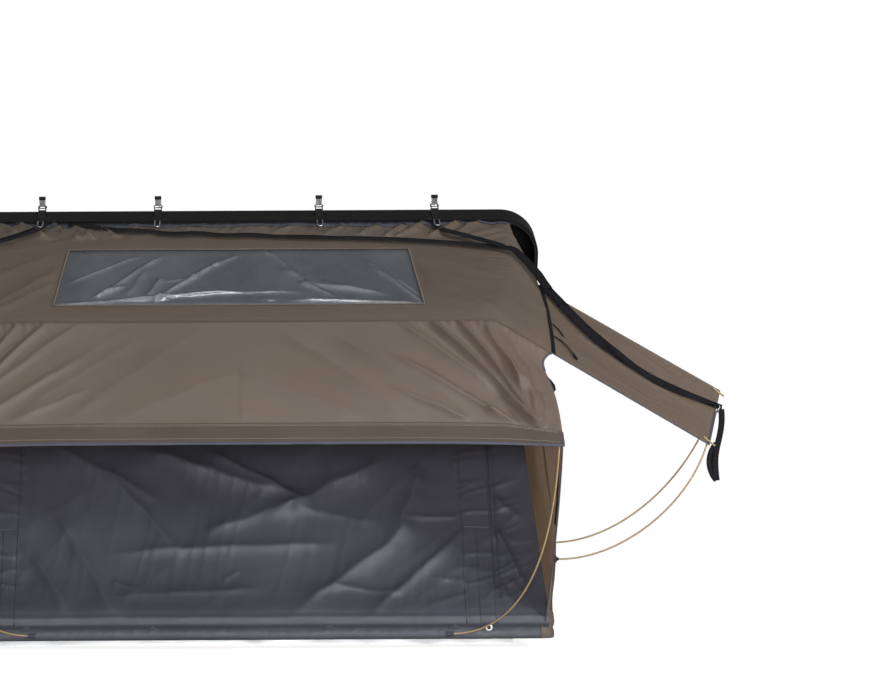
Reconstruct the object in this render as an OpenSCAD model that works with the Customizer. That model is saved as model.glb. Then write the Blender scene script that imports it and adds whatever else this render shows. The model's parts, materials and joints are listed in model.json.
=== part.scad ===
// Hard-shell roof top tent: hinged lid, flat base, fabric canopy with a front and two side awnings.
// Units are millimetres. X runs along the long side, -Y is the open front, Z is up.
// The origin is at the middle of the base, level with the bottom of the mounting channels.

/* [Base] */
// Length of the base frame
base_l = 2004; // [1700:1:2200]
// Depth of the base frame, front to back
base_d = 1420; // [1200:1:1600]
// Height of the base rails
rail_h = 90; // [80:1:120]
// Width of the base rails
rail_w = 30; // [24:1:40]
// Corner radius of the base frame
base_r = 40; // [35:1:60]
// Thickness of the floor panel
floor_t = 30; // [20:1:40]
// Height of the floor panel above the bottom of the rails
floor_drop = 10; // [5:1:20]
// Thickness of the fabric skirt round the base
skirt_t = 3; // [2:0.5:4]

/* [Mounting channels] */
// Height of a channel below the floor panel
channel_h = 40; // [30:1:50]
// Width of a channel
channel_w = 50; // [40:1:60]
// Length of a channel
channel_l = 1800; // [1500:1:1900]
// Wall of a channel
channel_wall = 4; // [3:0.5:6]
// Distance between the two channels
channel_gap = 800; // [600:1:1000]
// Distance between the two bolts of one channel
bolt_span = 1200; // [900:1:1400]
// Diameter of the bolt holes
bolt_d = 9; // [8.5:0.1:11]

/* [Lid] */
// How far the lid stands past the base at each end
lid_side = 48; // [40:1:90]
// Height of the lid shell
lid_h = 150; // [130:1:180]
// Wall of the lid shell
lid_wall = 4; // [3:0.5:6]
// Corner radius of the lid in plan
lid_r = 130; // [80:1:140]
// Radius between the lid's rim and its top
lid_edge_r = 45; // [30:1:60]
// How far the lid's front stands ahead of the base
lid_front = 20; // [16:1:40]
// Opening angle of the lid
lid_open = 66; // [50:1:72]
// Side of the square tubes inside the lid
tube_w = 25; // [20:1:30]
// Height of those tubes above the lip
tube_lift = 20; // [18:1:30]
// How far the end tubes stand inside the lid's ends
tube_in = 100; // [90:1:130]

/* [Hinges and struts] */
// Length of one hinge
hinge_l = 120; // [90:1:160]
// Distance from the middle to the outer hinges
hinge_span = 780; // [500:1:850]
// Diameter of the hinge pin
hinge_pin_d = 8; // [6:0.5:9]
// Outer diameter of the hinge knuckle
hinge_knuckle_d = 14; // [12:0.5:16]
// Distance of a strut's foot from the hinge line
strut_foot = 700; // [680:1:740]
// Distance of a strut's head from the hinge line
strut_head = 340; // [330:1:350]
// Outer diameter of a strut's tube
strut_tube_d = 20; // [18:0.5:22]
// Diameter of a strut's rod
strut_rod_d = 10; // [8:0.5:12]
// Diameter of a strut's pivot stud
strut_stud_d = 10; // [8:0.5:11]

/* [Latches] */
// Distance from the middle to an inner latch
latch_in = 283; // [220:1:340]
// Distance from the middle to an outer latch
latch_out = 690; // [600:1:760]
// Length of a latch lever
lever_l = 32; // [26:1:55]
// Width of a latch lever
lever_w = 21; // [16:1:26]
// Width of a latch strap
strap_w = 28; // [24:1:34]
// Thickness of a latch strap
strap_t = 5; // [4:0.5:6]
// Reach of a wire hook past its strap
hook_l = 58; // [45:1:62]
// Diameter of the hook wire
hook_d = 5; // [4:0.5:6]

/* [Canopy] */
// How far the canopy stands inside the base's ends at the lid
canopy_in = 57; // [50:1:80]
// How far the canopy stands past the base's ends at the break line
canopy_out = 0; // [0:1:40]
// How far the break line stands ahead of the base
break_front = 50; // [20:1:90]
// Height of the break line at the middle
break_z = 1052; // [980:1:1100]
// Drop of the break line at its ends
break_drop = 108; // [60:1:130]
// Where that drop starts, as a share of the half length
drop_from = 0.8; // [0.6:0.05:0.85]
// Depth of the notch in the awning's ends, just under the break line
notch = 34; // [0:1:45]
// How far the awning's edge stands ahead of the base
awning_front = 250; // [180:1:300]
// Height of the awning's edge
awning_z = 656; // [600:1:720]
// How far the awning's edge stands past the base's ends
awning_out = 15; // [10:1:50]
// Thickness of the fabric
cloth_t = 2.5; // [2:0.5:3]
// Height of the folds in the front wall
wall_fold = 16; // [8:1:24]
// Number of folds across the front wall
wall_folds = 9; // [6:1:12]
// Height of the gathers along the lid
gather_fold = 7; // [3:1:9]
// Number of gathers along the lid
gathers = 10; // [6:1:14]

/* [Skylight] */
// Half length of the skylight at its upper edge
sky_top_half = 580; // [450:1:640]
// Half length of the skylight at its lower edge
sky_low_half = 602; // [480:1:680]
// Upper edge of the skylight, as a share of the roof's slope
sky_top = 0.285; // [0.25:0.005:0.45]
// Lower edge of the skylight, as a share of the roof's slope
sky_low = 0.85; // [0.75:0.005:0.92]
// Thickness of the skylight film
film_t = 1.5; // [1:0.1:2]

/* [Side awnings and rods] */
// How far a side awning reaches out at its far corner
side_far = 632; // [450:1:680]
// How far a side awning reaches out at its near corner
side_near = 498; // [400:1:560]
// Drop of a side awning at its far corner
side_far_drop = 347; // [240:1:400]
// Drop of a side awning at its near corner
side_near_drop = 294; // [220:1:350]
// Length of a side awning along the canopy
side_len = 440; // [240:1:480]
// Diameter of the spring rods
rod_d = 6; // [5:0.5:9]
// Distance from the middle to the foot of a front rod
front_rod_x = 671; // [500:1:800]
// Width of the webbing
web_w = 38; // [25:1:50]
// Thickness of the webbing
web_t = 1.6; // [1.2:0.1:2]
// Width of the webbing's hanging tail
tail_w = 22; // [15:1:28]

/* [Mattress] */
// Thickness of the mattress at its edge
mattress_edge = 44; // [36:1:50]
// Extra thickness of the mattress at its middle
mattress_crown = 10; // [4:1:14]
// How far the mattress's sides draw in
mattress_tuck = 9; // [4:1:14]
// Room between the mattress and the front and back rails
mattress_room = 45; // [40:1:70]

/* [Hidden] */
$fn = 48;
// Gap of a soft piece to what carries it
soft_gap = 0.4;
// Running clearance of a pin in its bore, on the radius
pin_gap = 0.05;
// Clearance between pieces that pass each other
pass_gap = 0.3;
// Small length by which cuts run past a face
cut = 1;

rail_z = channel_h - floor_drop;
rail_top = rail_z + rail_h;
floor_z = rail_z + floor_drop;
floor_top = floor_z + floor_t;
base_front = -base_d / 2;
base_back = base_d / 2;
lid_l = base_l + 2 * lid_side;
canopy_top_half = base_l / 2 - canopy_in;
canopy_half = base_l / 2 + canopy_out;
awning_half = base_l / 2 + awning_out;
lip_z = rail_top + 10;
lid_y0 = base_front - lid_front;
hinge_y = base_back + 10;
hinge_z = lip_z;
lid_y1 = hinge_y + 20;
lid_in0 = lid_y0 + lid_wall;
lid_in1 = lid_y1 - lid_wall;
lid_in_half = lid_l / 2 - lid_wall;
tube_z = lip_z + tube_lift;
tube_x = lid_l / 2 - tube_in - tube_w / 2;
wall_x = base_l / 2 - 6;
wing_x = base_l / 2 - 10;
latch_x = [-latch_out, -latch_in, latch_in, latch_out];

// Helpers for points, sheets and rods
function lerp(a, b, t) = a + (b - a) * t;
function unit(v) = v / norm(v);
function flat(rows) = [for (row = rows) each row];
function bezier(p, t) =
    p[0] * pow(1 - t, 3) + p[1] * 3 * t * pow(1 - t, 2) + p[2] * 3 * t * t * (1 - t) + p[3] * pow(t, 3);
// A point of the closed lid, moved to where the open lid has it
function opened(p) =
    let (y = p[1] - hinge_y, z = p[2] - hinge_z, c = cos(lid_open), s = sin(lid_open))
    [p[0], hinge_y + y * c + z * s, hinge_z - y * s + z * c];

// A closed sheet between a grid of points and the same grid moved by one step
module sheet(rows, step) {
    nu = len(rows) - 1;
    nv = len(rows[0]) - 1;
    n = (nu + 1) * (nv + 1);
    w = nv + 1;
    top = flat(rows);
    low = [for (p = top) p + step];
    mid = floor(nu / 2) * w + floor(nv / 2);
    turn = cross(top[mid + 1] - top[mid], top[mid + w] - top[mid]) * step;
    skin = [for (i = [0:nu - 1], j = [0:nv - 1]) let (a = i * w + j, b = a + 1, c = a + w + 1, d = a + w)
        each [[a, b, c], [a, c, d], [a + n, c + n, b + n], [a + n, d + n, c + n]]];
    first = [for (j = [0:nv - 1]) let (a = j, b = j + 1) each [[b, a, a + n], [b, a + n, b + n]]];
    last = [for (j = [0:nv - 1]) let (d = nu * w + j, c = d + 1) each [[d, c, c + n], [d, c + n, d + n]]];
    near = [for (i = [0:nu - 1]) let (a = i * w, d = a + w) each [[a, d, d + n], [a, d + n, a + n]]];
    far = [for (i = [0:nu - 1]) let (b = i * w + nv, c = b + w) each [[c, b, b + n], [c, b + n, c + n]]];
    faces = concat(skin, first, last, near, far);
    polyhedron(concat(top, low), turn > 0 ? faces : [for (f = faces) [f[2], f[1], f[0]]]);
}

// A rod along points, with rings square to the route; side is a vector that the route never follows
module rod(points, r, side) {
    sides = 8;
    n = len(points);
    rings = [for (i = [0:n - 1])
        let (t = unit(points[min(i + 1, n - 1)] - points[max(i - 1, 0)]),
            u = unit(cross(t, side)), v = cross(u, t))
        for (k = [0:sides - 1]) points[i] + r * (cos(k * 360 / sides) * u + sin(k * 360 / sides) * v)];
    skin = [for (i = [0:n - 2], k = [0:sides - 1])
        let (a = i * sides + k, b = i * sides + (k + 1) % sides, c = b + sides, d = a + sides)
        each [[a, b, c], [a, c, d]]];
    caps = [for (k = [1:sides - 2]) each [
        [0, k + 1, k], [(n - 1) * sides, (n - 1) * sides + k, (n - 1) * sides + k + 1]]];
    polyhedron(rings, concat(skin, caps));
}

module round_rect(x0, y0, x1, y1, r) {
    translate([x0 + r, y0]) square([x1 - x0 - 2 * r, y1 - y0]);
    translate([x0, y0 + r]) square([x1 - x0, y1 - y0 - 2 * r]);
    for (x = [x0 + r, x1 - r], y = [y0 + r, y1 - r]) translate([x, y]) circle(r);
}

module box(low, high) {
    translate(low) cube(high - low);
}

module along_x(x, y, z, r, l) {
    translate([x, y, z]) rotate([0, 90, 0]) cylinder(r = r, h = l);
}

module both_ends() {
    children();
    mirror([1, 0, 0]) children();
}

module open_lid() {
    translate([0, hinge_y, hinge_z]) rotate([-lid_open, 0, 0]) translate([0, -hinge_y, -hinge_z]) children();
}

// Base frame
module base_rail_front() {
    half = base_l / 2 - base_r;
    color("#3a3c40") rail([-half, base_front, rail_z], [half, base_front + rail_w, rail_top]);
}

module base_rail_back() {
    half = base_l / 2 - base_r;
    color("#3a3c40") rail([-half, base_back - rail_w, rail_z], [half, base_back, rail_top]);
}

module rail(low, high) {
    wall = [0, channel_wall, channel_wall];
    difference() {
        box(low, high);
        box(low + wall - [cut, 0, 0], high - wall + [cut, 0, 0]);
    }
}

module base_rail_ends() {
    wall = [channel_wall, 0, channel_wall];
    low = [base_l / 2 - rail_w, base_front + base_r, rail_z];
    high = [base_l / 2, base_back - base_r, rail_top];
    color("#3a3c40") both_ends() difference() {
        box(low, high);
        box(low + wall - [0, cut, 0], high - wall + [0, cut, 0]);
    }
}

module base_corners() {
    color("#1c1c1e") for (sx = [0, 1], sy = [0, 1]) mirror([sx, 0, 0]) mirror([0, sy, 0])
        translate([base_l / 2 - base_r, base_d / 2 - base_r, rail_z]) linear_extrude(rail_h) difference() {
            intersection() {
                circle(base_r);
                square(base_r);
            }
            square(base_r - rail_w);
        }
}

module floor_panel() {
    edge = base_r - rail_w;
    color("#8c8f92") translate([0, 0, floor_z]) linear_extrude(floor_t) difference() {
        square([base_l - 2 * rail_w, base_d - 2 * rail_w], center = true);
        for (sx = [-1, 1], sy = [-1, 1])
            translate([sx * (base_l / 2 - base_r + edge / 2), sy * (base_d / 2 - base_r + edge / 2)])
                square(edge + cut, center = true);
    }
}

module mount_channels() {
    color("#9a9da0") for (sy = [-1, 1]) translate([0, sy * channel_gap / 2, 0]) difference() {
        box([-channel_l / 2, -channel_w / 2, 0], [channel_l / 2, channel_w / 2, channel_h]);
        box([-channel_l / 2 - cut, channel_wall - channel_w / 2, channel_wall],
            [channel_l / 2 + cut, channel_w / 2 - channel_wall, channel_h - channel_wall]);
        for (sx = [-1, 1]) translate([sx * bolt_span / 2, 0, -cut])
            cylinder(d = bolt_d, h = channel_wall + 2 * cut);
    }
}

module channel_screws() {
    head_r = 6;
    head_h = 4;
    color("#c0c3c6") for (sy = [-1, 1], x = [-0.45, -0.15, 0.15, 0.45])
        translate([x * channel_l, sy * channel_gap / 2, channel_h - channel_wall - head_h])
            cylinder(r = head_r, h = head_h);
}

// Hinges at the back
module at_hinges() {
    for (x = [-hinge_span, 0, hinge_span]) translate([x, 0, 0]) children();
}

module knuckle(x0, x1) {
    difference() {
        along_x(x0, hinge_y, hinge_z, hinge_knuckle_d / 2, x1 - x0);
        along_x(x0 - cut, hinge_y, hinge_z, hinge_pin_d / 2 + pin_gap, x1 - x0 + 2 * cut);
    }
}

module hinge_leaves_base() {
    third = hinge_l / 3;
    web = hinge_pin_d / 2 + 1;
    color("#a8abae") at_hinges() {
        for (x = [-hinge_l / 2, third / 2]) {
            knuckle(x, x + third - pass_gap);
            difference() {
                box([x, base_back, hinge_z - web], [x + third - pass_gap, hinge_y, hinge_z + web - 2]);
                along_x(x - cut, hinge_y, hinge_z, hinge_knuckle_d / 2 - 1, third + 2 * cut);
            }
        }
        box([-hinge_l / 2, base_back, rail_z + 20], [hinge_l / 2 - pass_gap, base_back + 3, hinge_z - web]);
        for (x = [-hinge_l / 3, hinge_l / 3]) translate([x, base_back + 3, rail_z + 40])
            rotate([-90, 0, 0]) cylinder(r = 5, h = 2.5);
    }
}

module hinge_leaves_lid() {
    third = hinge_l / 3;
    web = hinge_pin_d / 2;
    x0 = pass_gap - third / 2;
    x1 = third / 2 - 2 * pass_gap;
    color("#a8abae") open_lid() at_hinges() {
        knuckle(x0, x1);
        difference() {
            box([x0, hinge_y, hinge_z - web], [x1, lid_in1, hinge_z + web]);
            along_x(x0 - cut, hinge_y, hinge_z, hinge_knuckle_d / 2 - 1, third + 2 * cut);
        }
        box([-hinge_l / 2, lid_in1 - 3, hinge_z + 12], [hinge_l / 2, lid_in1, hinge_z + 70]);
        box([x0, lid_in1 - 3, hinge_z], [x1, lid_in1, hinge_z + 13]);
    }
}

module hinge_pins() {
    head = 3;
    color("#c8cacc") at_hinges() {
        along_x(-hinge_l / 2 - head, hinge_y, hinge_z, hinge_pin_d / 2, hinge_l + 2 * head);
        along_x(-hinge_l / 2 - head, hinge_y, hinge_z, hinge_pin_d / 2 + 2, head - pass_gap);
    }
}

// Mattress with a crowned top and sides that draw in between the corners
module mattress() {
    half_x = strut_x - strut_tube_d / 2 - 14;
    half_y = base_d / 2 - rail_w - mattress_room;
    nx = 24;
    ny = 14;
    function tuck(u) = mattress_tuck * (1 - u * u);
    function at(u, v) = [half_x * u - tuck(v) * pow(u, 5), half_y * v - tuck(u) * pow(v, 5)];
    function crown(u, v) = mattress_crown * (1 - pow(u, 6)) * (1 - pow(v, 6));
    rows = [for (i = [0:nx]) [for (j = [0:ny])
        let (u = 2 * i / nx - 1, v = 2 * j / ny - 1, p = at(u, v))
        [p[0], p[1], floor_top + soft_gap + mattress_edge + crown(u, v)]]];
    flat_z = floor_top + soft_gap;
    color("#55585e") pad(rows, flat_z);
}

// A closed pad between a grid of points and a flat underside
module pad(rows, flat_z) {
    nu = len(rows) - 1;
    nv = len(rows[0]) - 1;
    n = (nu + 1) * (nv + 1);
    w = nv + 1;
    top = flat(rows);
    low = [for (p = top) [p[0], p[1], flat_z]];
    skin = [for (i = [0:nu - 1], j = [0:nv - 1]) let (a = i * w + j, b = a + 1, c = a + w + 1, d = a + w)
        each [[a, b, c], [a, c, d], [a + n, c + n, b + n], [a + n, d + n, c + n]]];
    first = [for (j = [0:nv - 1]) let (a = j, b = j + 1) each [[b, a, a + n], [b, a + n, b + n]]];
    last = [for (j = [0:nv - 1]) let (d = nu * w + j, c = d + 1) each [[d, c, c + n], [d, c + n, d + n]]];
    near = [for (i = [0:nu - 1]) let (a = i * w, d = a + w) each [[a, d, d + n], [a, d + n, a + n]]];
    far = [for (i = [0:nu - 1]) let (b = i * w + nv, c = b + w) each [[c, b, b + n], [c, b + n, c + n]]];
    polyhedron(concat(top, low), [for (f = concat(skin, first, last, near, far)) [f[2], f[1], f[0]]]);
}

// Fabric skirt round the front and the ends of the base
module skirt() {
    x = base_l / 2 + soft_gap;
    y = base_front - soft_gap;
    color("#4a4c54") translate([0, 0, rail_z]) linear_extrude(rail_h - 2) difference() {
        round_rect(-x - skirt_t, y - skirt_t, x + skirt_t, base_back, base_r + skirt_t);
        round_rect(-x, y, x, base_back + base_d, base_r);
        translate([-base_l, base_back - base_r - 20]) square([2 * base_l, base_d]);
    }
}

skirt_face = base_front - soft_gap - skirt_t;

module catch_plates() {
    color("#1c1c1e") for (x = latch_x) translate([x, skirt_face, rail_z + 55]) {
        box([-14, -3, -20], [14, 0, 12]);
        box([-5, -9, -8], [5, -3, -4]);
        box([-5, -9, -14], [5, -6, -8]);
    }
}

// Foot of each front rod, a cup on the skirt
front_rod_y = skirt_face - 14;
front_rod_z = rail_z + 17;
cup_r = rod_d / 2 + 5;
cup_wall_gap = 0.8;

module front_rod_sockets() {
    bore = rod_d / 2 + cup_wall_gap;
    half = 12;
    low = [front_rod_x - half, front_rod_y, front_rod_z - half / 2];
    color("#2a2a2c") both_ends() difference() {
        union() {
            along_x(front_rod_x - half, front_rod_y, front_rod_z, cup_r, 2 * half);
            box(low, [front_rod_x + half, skirt_face, front_rod_z + half / 2]);
        }
        along_x(front_rod_x, front_rod_y, front_rod_z, bore, 40);
    }
}

// Gas struts: a tube that turns on the base and a rod that slides in it
strut_x = tube_x - tube_w / 2 - 25;
strut_eye_w = 20;
// Height of a strut's foot above the rail, below the tube of the closed lid
foot_lift = 20;
foot_p = [0, hinge_y - strut_foot, rail_top + foot_lift];
head_closed = [0, hinge_y - strut_head, lip_z + tube_lift + tube_w / 2 + 2];
head_p = opened(head_closed);
strut_v = head_p - foot_p;
strut_len = norm(strut_v);
strut_rise = atan2(strut_v[2], strut_v[1]);
strut_tube_l = norm(head_closed - foot_p) - strut_stud_d / 2 - 9;
strut_bore_r = strut_tube_d / 2 - 1.5;

module strut_brackets() {
    x = base_l / 2 - rail_w;
    start = strut_x - strut_eye_w / 2 - 3;
    color("#9a9da0") both_ends() {
        box([x - 3, foot_p[1] - 30, rail_top - 45], [x, foot_p[1] + 30, foot_p[2] + strut_stud_d / 2 + 2]);
        along_x(start, foot_p[1], foot_p[2], strut_stud_d / 2, x - 3 - start);
    }
}

module strut_studs() {
    face = tube_x - tube_w / 2;
    start = strut_x + strut_eye_w / 2 + pass_gap;
    color("#9a9da0") open_lid() both_ends()
        along_x(start, head_closed[1], head_closed[2], strut_stud_d / 2, face - start);
}

// Places a piece drawn along +Y from the strut's foot
module on_strut(side) {
    translate([side * strut_x, foot_p[1], foot_p[2]]) rotate([strut_rise, 0, 0]) children();
}

module along_y(y, r, l) {
    translate([0, y, 0]) rotate([-90, 0, 0]) cylinder(r = r, h = l);
}

module strut_tube(side) {
    eye_bore = strut_stud_d / 2 + pin_gap;
    gland = 10;
    color("#26272a") on_strut(side) difference() {
        union() {
            along_y(8, strut_tube_d / 2, strut_tube_l - 8);
            along_x(-strut_eye_w / 2, 0, 0, strut_stud_d / 2 + 5, strut_eye_w - 2);
            along_y(0, 6, 12);
        }
        along_x(-strut_eye_w, 0, 0, eye_bore, 2 * strut_eye_w);
        along_y(strut_eye_w / 2 + 3, strut_bore_r, strut_tube_l - gland - strut_eye_w / 2 - 3);
        along_y(strut_tube_l - gland - cut, strut_rod_d / 2 + pin_gap, gland + 2 * cut);
    }
}

module strut_rod(side) {
    piston = 8;
    seat = strut_tube_l - 12;
    color("#c8cacc") on_strut(side) {
        along_y(seat - piston, strut_bore_r - 0.1, piston);
        along_y(seat - cut, strut_rod_d / 2, strut_len - seat + cut);
        along_x(-strut_eye_w / 2, strut_len, 0, strut_stud_d / 2 + 4, strut_eye_w);
    }
}

// Lid: a rim, a flat top and a rounded edge between them, all drawn in by inset
module lid_form(inset) {
    r = lid_r - inset;
    e = lid_edge_r - inset;
    x = lid_l / 2 - inset;
    y0 = lid_y0 + inset;
    y1 = lid_y1 - inset;
    low = inset > 0 ? lip_z - cut : lip_z;
    top = lip_z + lid_h - inset;
    translate([0, 0, low]) linear_extrude(top - e - low) round_rect(-x, y0, x, y1, r);
    translate([0, 0, top - e - cut]) linear_extrude(e + cut) round_rect(e - x, y0 + e, x - e, y1 - e, r - e);
    for (y = [y0 + e, y1 - e]) along_x(r - x, y, top - e, e, 2 * (x - r));
    for (sx = [-1, 1]) translate([sx * (x - e), y0 + r, top - e]) rotate([-90, 0, 0])
        cylinder(r = e, h = y1 - y0 - 2 * r);
    for (sx = [-1, 1], y = [y0 + r, y1 - r]) translate([sx * (x - r), y, top - e])
        rotate_extrude() translate([r - e, 0]) circle(e);
}

module lid_shell() {
    color("#151516") open_lid() difference() {
        lid_form(0);
        lid_form(lid_wall);
    }
}

module lid_tube_front() {
    half = tube_x - tube_w / 2;
    low = [-half, lid_in0 + pass_gap, tube_z];
    high = [half, lid_in0 + tube_w, tube_z + tube_w];
    color("#8c8f92") open_lid() tube_box(low, high, [0, 2, 2], [cut, 0, 0]);
}

module lid_tube_ends() {
    r = lid_r - lid_wall;
    past = max(0, tube_x + tube_w / 2 - lid_in_half + r);
    room = r - sqrt(r * r - past * past) + 1;
    low = [tube_x - tube_w / 2, lid_in0 + room, tube_z];
    high = [tube_x + tube_w / 2, lid_in1 - room, tube_z + tube_w];
    color("#8c8f92") open_lid() both_ends() tube_box(low, high, [2, 0, 2], [0, cut, 0]);
}

module tube_box(low, high, wall, past) {
    difference() {
        box(low, high);
        box(low + wall - past, high - wall + past);
    }
}

module lid_seal() {
    gap = 0.4;
    t = 8;
    x = lid_in_half - gap;
    color("#1a1a1a") open_lid() translate([0, 0, lip_z + 1]) linear_extrude(12) difference() {
        round_rect(-x, lid_in0 + gap, x, lid_in1 - gap, lid_r - lid_wall - gap);
        round_rect(t - x, lid_in0 + gap + t, x - t, lid_in1 - gap - t, lid_r - lid_wall - gap - t);
        for (h = [-hinge_span, 0, hinge_span])
            translate([h - hinge_l / 2 - 4, lid_in1 - 20]) square([hinge_l + 8, 30]);
    }
}

// Latches on the lid's front rim
latch_top = lip_z + lid_h - lid_edge_r;
lever_p = [0, lid_y0 - 13, latch_top + 15];
strap_p = [0, lid_y0 - 2 - strap_t / 2, lip_z + 0.56 * lid_h];
latch_pin_r = 2.5;

module latch_brackets() {
    ear = 3;
    in = lever_w / 2 + pass_gap;
    face = lid_y0;
    color("#8f9194") open_lid() for (x = latch_x) translate([x, 0, 0]) {
        box([-in - ear, face - 1.5, strap_p[2] + 8], [in + ear, face, latch_top]);
        for (s = [-in - ear, in]) {
            box([s, lever_p[1] - 5, latch_top - 12], [s + ear, face, latch_top]);
            box([s, lever_p[1] - 5, latch_top - cut], [s + ear, lever_p[1] + 5, lever_p[2] + 5]);
        }
        along_x(-in - ear - 2, lever_p[1], lever_p[2], latch_pin_r, 2 * (in + ear + 2));
        along_x(-strap_w / 2 - 4, strap_p[1], strap_p[2], latch_pin_r - 1, strap_w + 8);
        for (s = [-strap_w / 2 - 5, strap_w / 2 + 1])
            box([s, strap_p[1] - 3, strap_p[2] - 4], [s + 4, face, strap_p[2] + 4]);
    }
}

module latch_lever(x) {
    t = 6;
    color("#b4b6b8") open_lid() translate([x, lever_p[1], lever_p[2]]) difference() {
        union() {
            along_x(-lever_w / 2, 0, 0, 5, lever_w);
            box([-lever_w / 2, -lever_l, -t / 2], [lever_w / 2, 0, t / 2]);
            along_x(-lever_w / 2, -lever_l, 0, t / 2 + 2, lever_w);
        }
        along_x(-lever_w, 0, 0, latch_pin_r + pin_gap, 2 * lever_w);
    }
}

module latch_strap(x) {
    end = lip_z - 12;
    color("#1c1c1e") open_lid() translate([x, 0, 0]) difference() {
        union() {
            along_x(-strap_w / 2, strap_p[1], strap_p[2], strap_t / 2, strap_w);
            box([-strap_w / 2, strap_p[1] - strap_t / 2, end],
                [strap_w / 2, strap_p[1] + strap_t / 2, strap_p[2]]);
        }
        along_x(-strap_w, strap_p[1], strap_p[2], latch_pin_r - 1 + pin_gap, 2 * strap_w);
    }
}

module latch_hook(x) {
    leg = strap_w / 2 - hook_d;
    end = lip_z - 12;
    color("#c8cacc") open_lid() translate([x, strap_p[1], end]) {
        for (s = [-leg, leg]) translate([s, 0, -hook_l + leg]) cylinder(d = hook_d, h = hook_l - leg);
        translate([0, 0, -hook_l + leg]) rotate([-90, 0, 0])
            rotate_extrude(angle = 180) translate([leg, 0]) circle(d = hook_d);
    }
}

// Canopy, awnings, wings and walls
lid_edge_p = opened([0, lid_in0 + 13, tube_z - soft_gap]);
wall_edge_p = opened([0, lid_in0 + 22, tube_z - soft_gap]);
break_y = base_front - break_front;
awning_y = base_front - awning_front;
roof_down = [0, 0, -cloth_t];

// Drop of the roof towards its ends, largest at the break line
function past_drop(u) = max(0, (abs(u) - drop_from) / (1 - drop_from));
function end_drop(u, v) = break_drop * v * pow(past_drop(u), 1.15);
function roof_at(u, v) =
    let (g = gather_fold * sin(gathers * 180 * u) * (1 - v) * (1 - v) * (1 - pow(u, 8)) * v * 4)
    [lerp(canopy_top_half, canopy_half, v) * u, lerp(lid_edge_p[1], break_y, v),
     lerp(lid_edge_p[2], break_z, v) - end_drop(u, v) + g];
// The awning bows outwards a little between the break line and its edge, and its ends are notched
notch_v = 0.13;
function notch_at(v) = notch * v / notch_v * exp(1 - v / notch_v);
function awning_at(u, v) =
    let (x = lerp(canopy_half, awning_half, v) - notch_at(v), bow = 26 * sin(180 * v) * (1 - pow(u, 6)))
    [x * u, lerp(break_y, awning_y, v) - bow,
     lerp(break_z - end_drop(u, 1), awning_z - 12 * pow(abs(u), 5), v) + bow / 2];

// Columns and rows of the roof's grid
roof_cols = 4 * gathers;
roof_rows = 8;

module roof_sheet(step) {
    sheet([for (i = [0:roof_cols]) [for (j = [0:roof_rows])
        roof_at(2 * i / roof_cols - 1, j / roof_rows)]], step);
}

// Point on the straight line between two rows of the roof's grid
function roof_facet(u, v) =
    let (row = floor(v * roof_rows))
    lerp(roof_at(u, row / roof_rows), roof_at(u, (row + 1) / roof_rows), v * roof_rows - row);

// Prism through the roof that the skylight fills
module skylight_prism(room) {
    y_top = lerp(lid_edge_p[1], break_y, sky_top) + room;
    y_low = lerp(lid_edge_p[1], break_y, sky_low) - room;
    translate([0, 0, break_z - break_drop - 100]) linear_extrude(lid_edge_p[2]) polygon([
        [-sky_top_half - room, y_top], [sky_top_half + room, y_top],
        [sky_low_half + room, y_low], [-sky_low_half - room, y_low]]);
}

module canopy_roof() {
    color("#746a62") difference() {
        roof_sheet(roof_down);
        skylight_prism(0);
    }
}

module skylight_film() {
    color("#5f666d") intersection() {
        roof_sheet([0, 0, -film_t]);
        skylight_prism(-soft_gap);
    }
}

// Rows of the awning's grid; the first starts just clear of the roof
awning_rows = 8;
function awning_v(j) = lerp(0.002, 1, j / awning_rows);

module front_awning() {
    cols = 30;
    color("#746a62") sheet([for (i = [0:cols]) [for (j = [0:awning_rows])
        awning_at(2 * i / cols - 1, awning_v(j))]], roof_down);
}

// Gap of the webbing to the fabric under it
web_gap = 0.9;

// Webbing that lies on the roof above the skylight
module roof_webbing() {
    wide = web_w / norm(roof_at(0, 1) - roof_at(0, 0));
    function row(u) = 0.13 + 0.14 * u * u + 0.2 * pow(past_drop(u), 1.3);
    function lift(u) = web_gap * (1 + min(1, 4 * past_drop(u)));
    color("#26262c") sheet([for (i = [0:roof_cols]) let (u = 2 * i / roof_cols - 1) [for (k = [0, wide])
        roof_facet(u, row(u) + k) + [0, 0, lift(u)]]], [0, 0, web_t]);
}

module front_wall() {
    low = [0, base_front + 8, rail_top + soft_gap];
    side_room = 6;
    out = unit(cross([1, 0, 0], wall_edge_p - low));
    nx = 54;
    ny = 6;
    function fold(u, v) = wall_fold * (1 - cos(wall_folds * 360 * u + 70 * sin(150 * v))) / 2 * sin(180 * v);
    color("#45474f") sheet([for (i = [0:nx]) [for (j = [0:ny])
        let (u = i / nx, v = j / ny, p = lerp(low, wall_edge_p, v),
            half = lerp(wall_x, tube_x, v) - side_room)
        [half * (2 * u - 1), p[1], p[2]] - out * fold(u, v)]], [0, -cloth_t, 0]);
}

// Ends of the canopy and the lid, seen from the side
end_lift = cloth_t + soft_gap;
// The wing stands a little inside the ends of the roof and the awning
wing_u = 1 - 4 / awning_half;
roof_end = [for (v = [0, 1]) roof_at(wing_u, v) - [0, 0, end_lift]];
wall_front = base_front - 2;

// Point of the roof's end edge at a given y
function roof_end_z(y) =
    lerp(roof_end[0][2], roof_end[1][2], (y - roof_end[0][1]) / (roof_end[1][1] - roof_end[0][1]));

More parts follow.
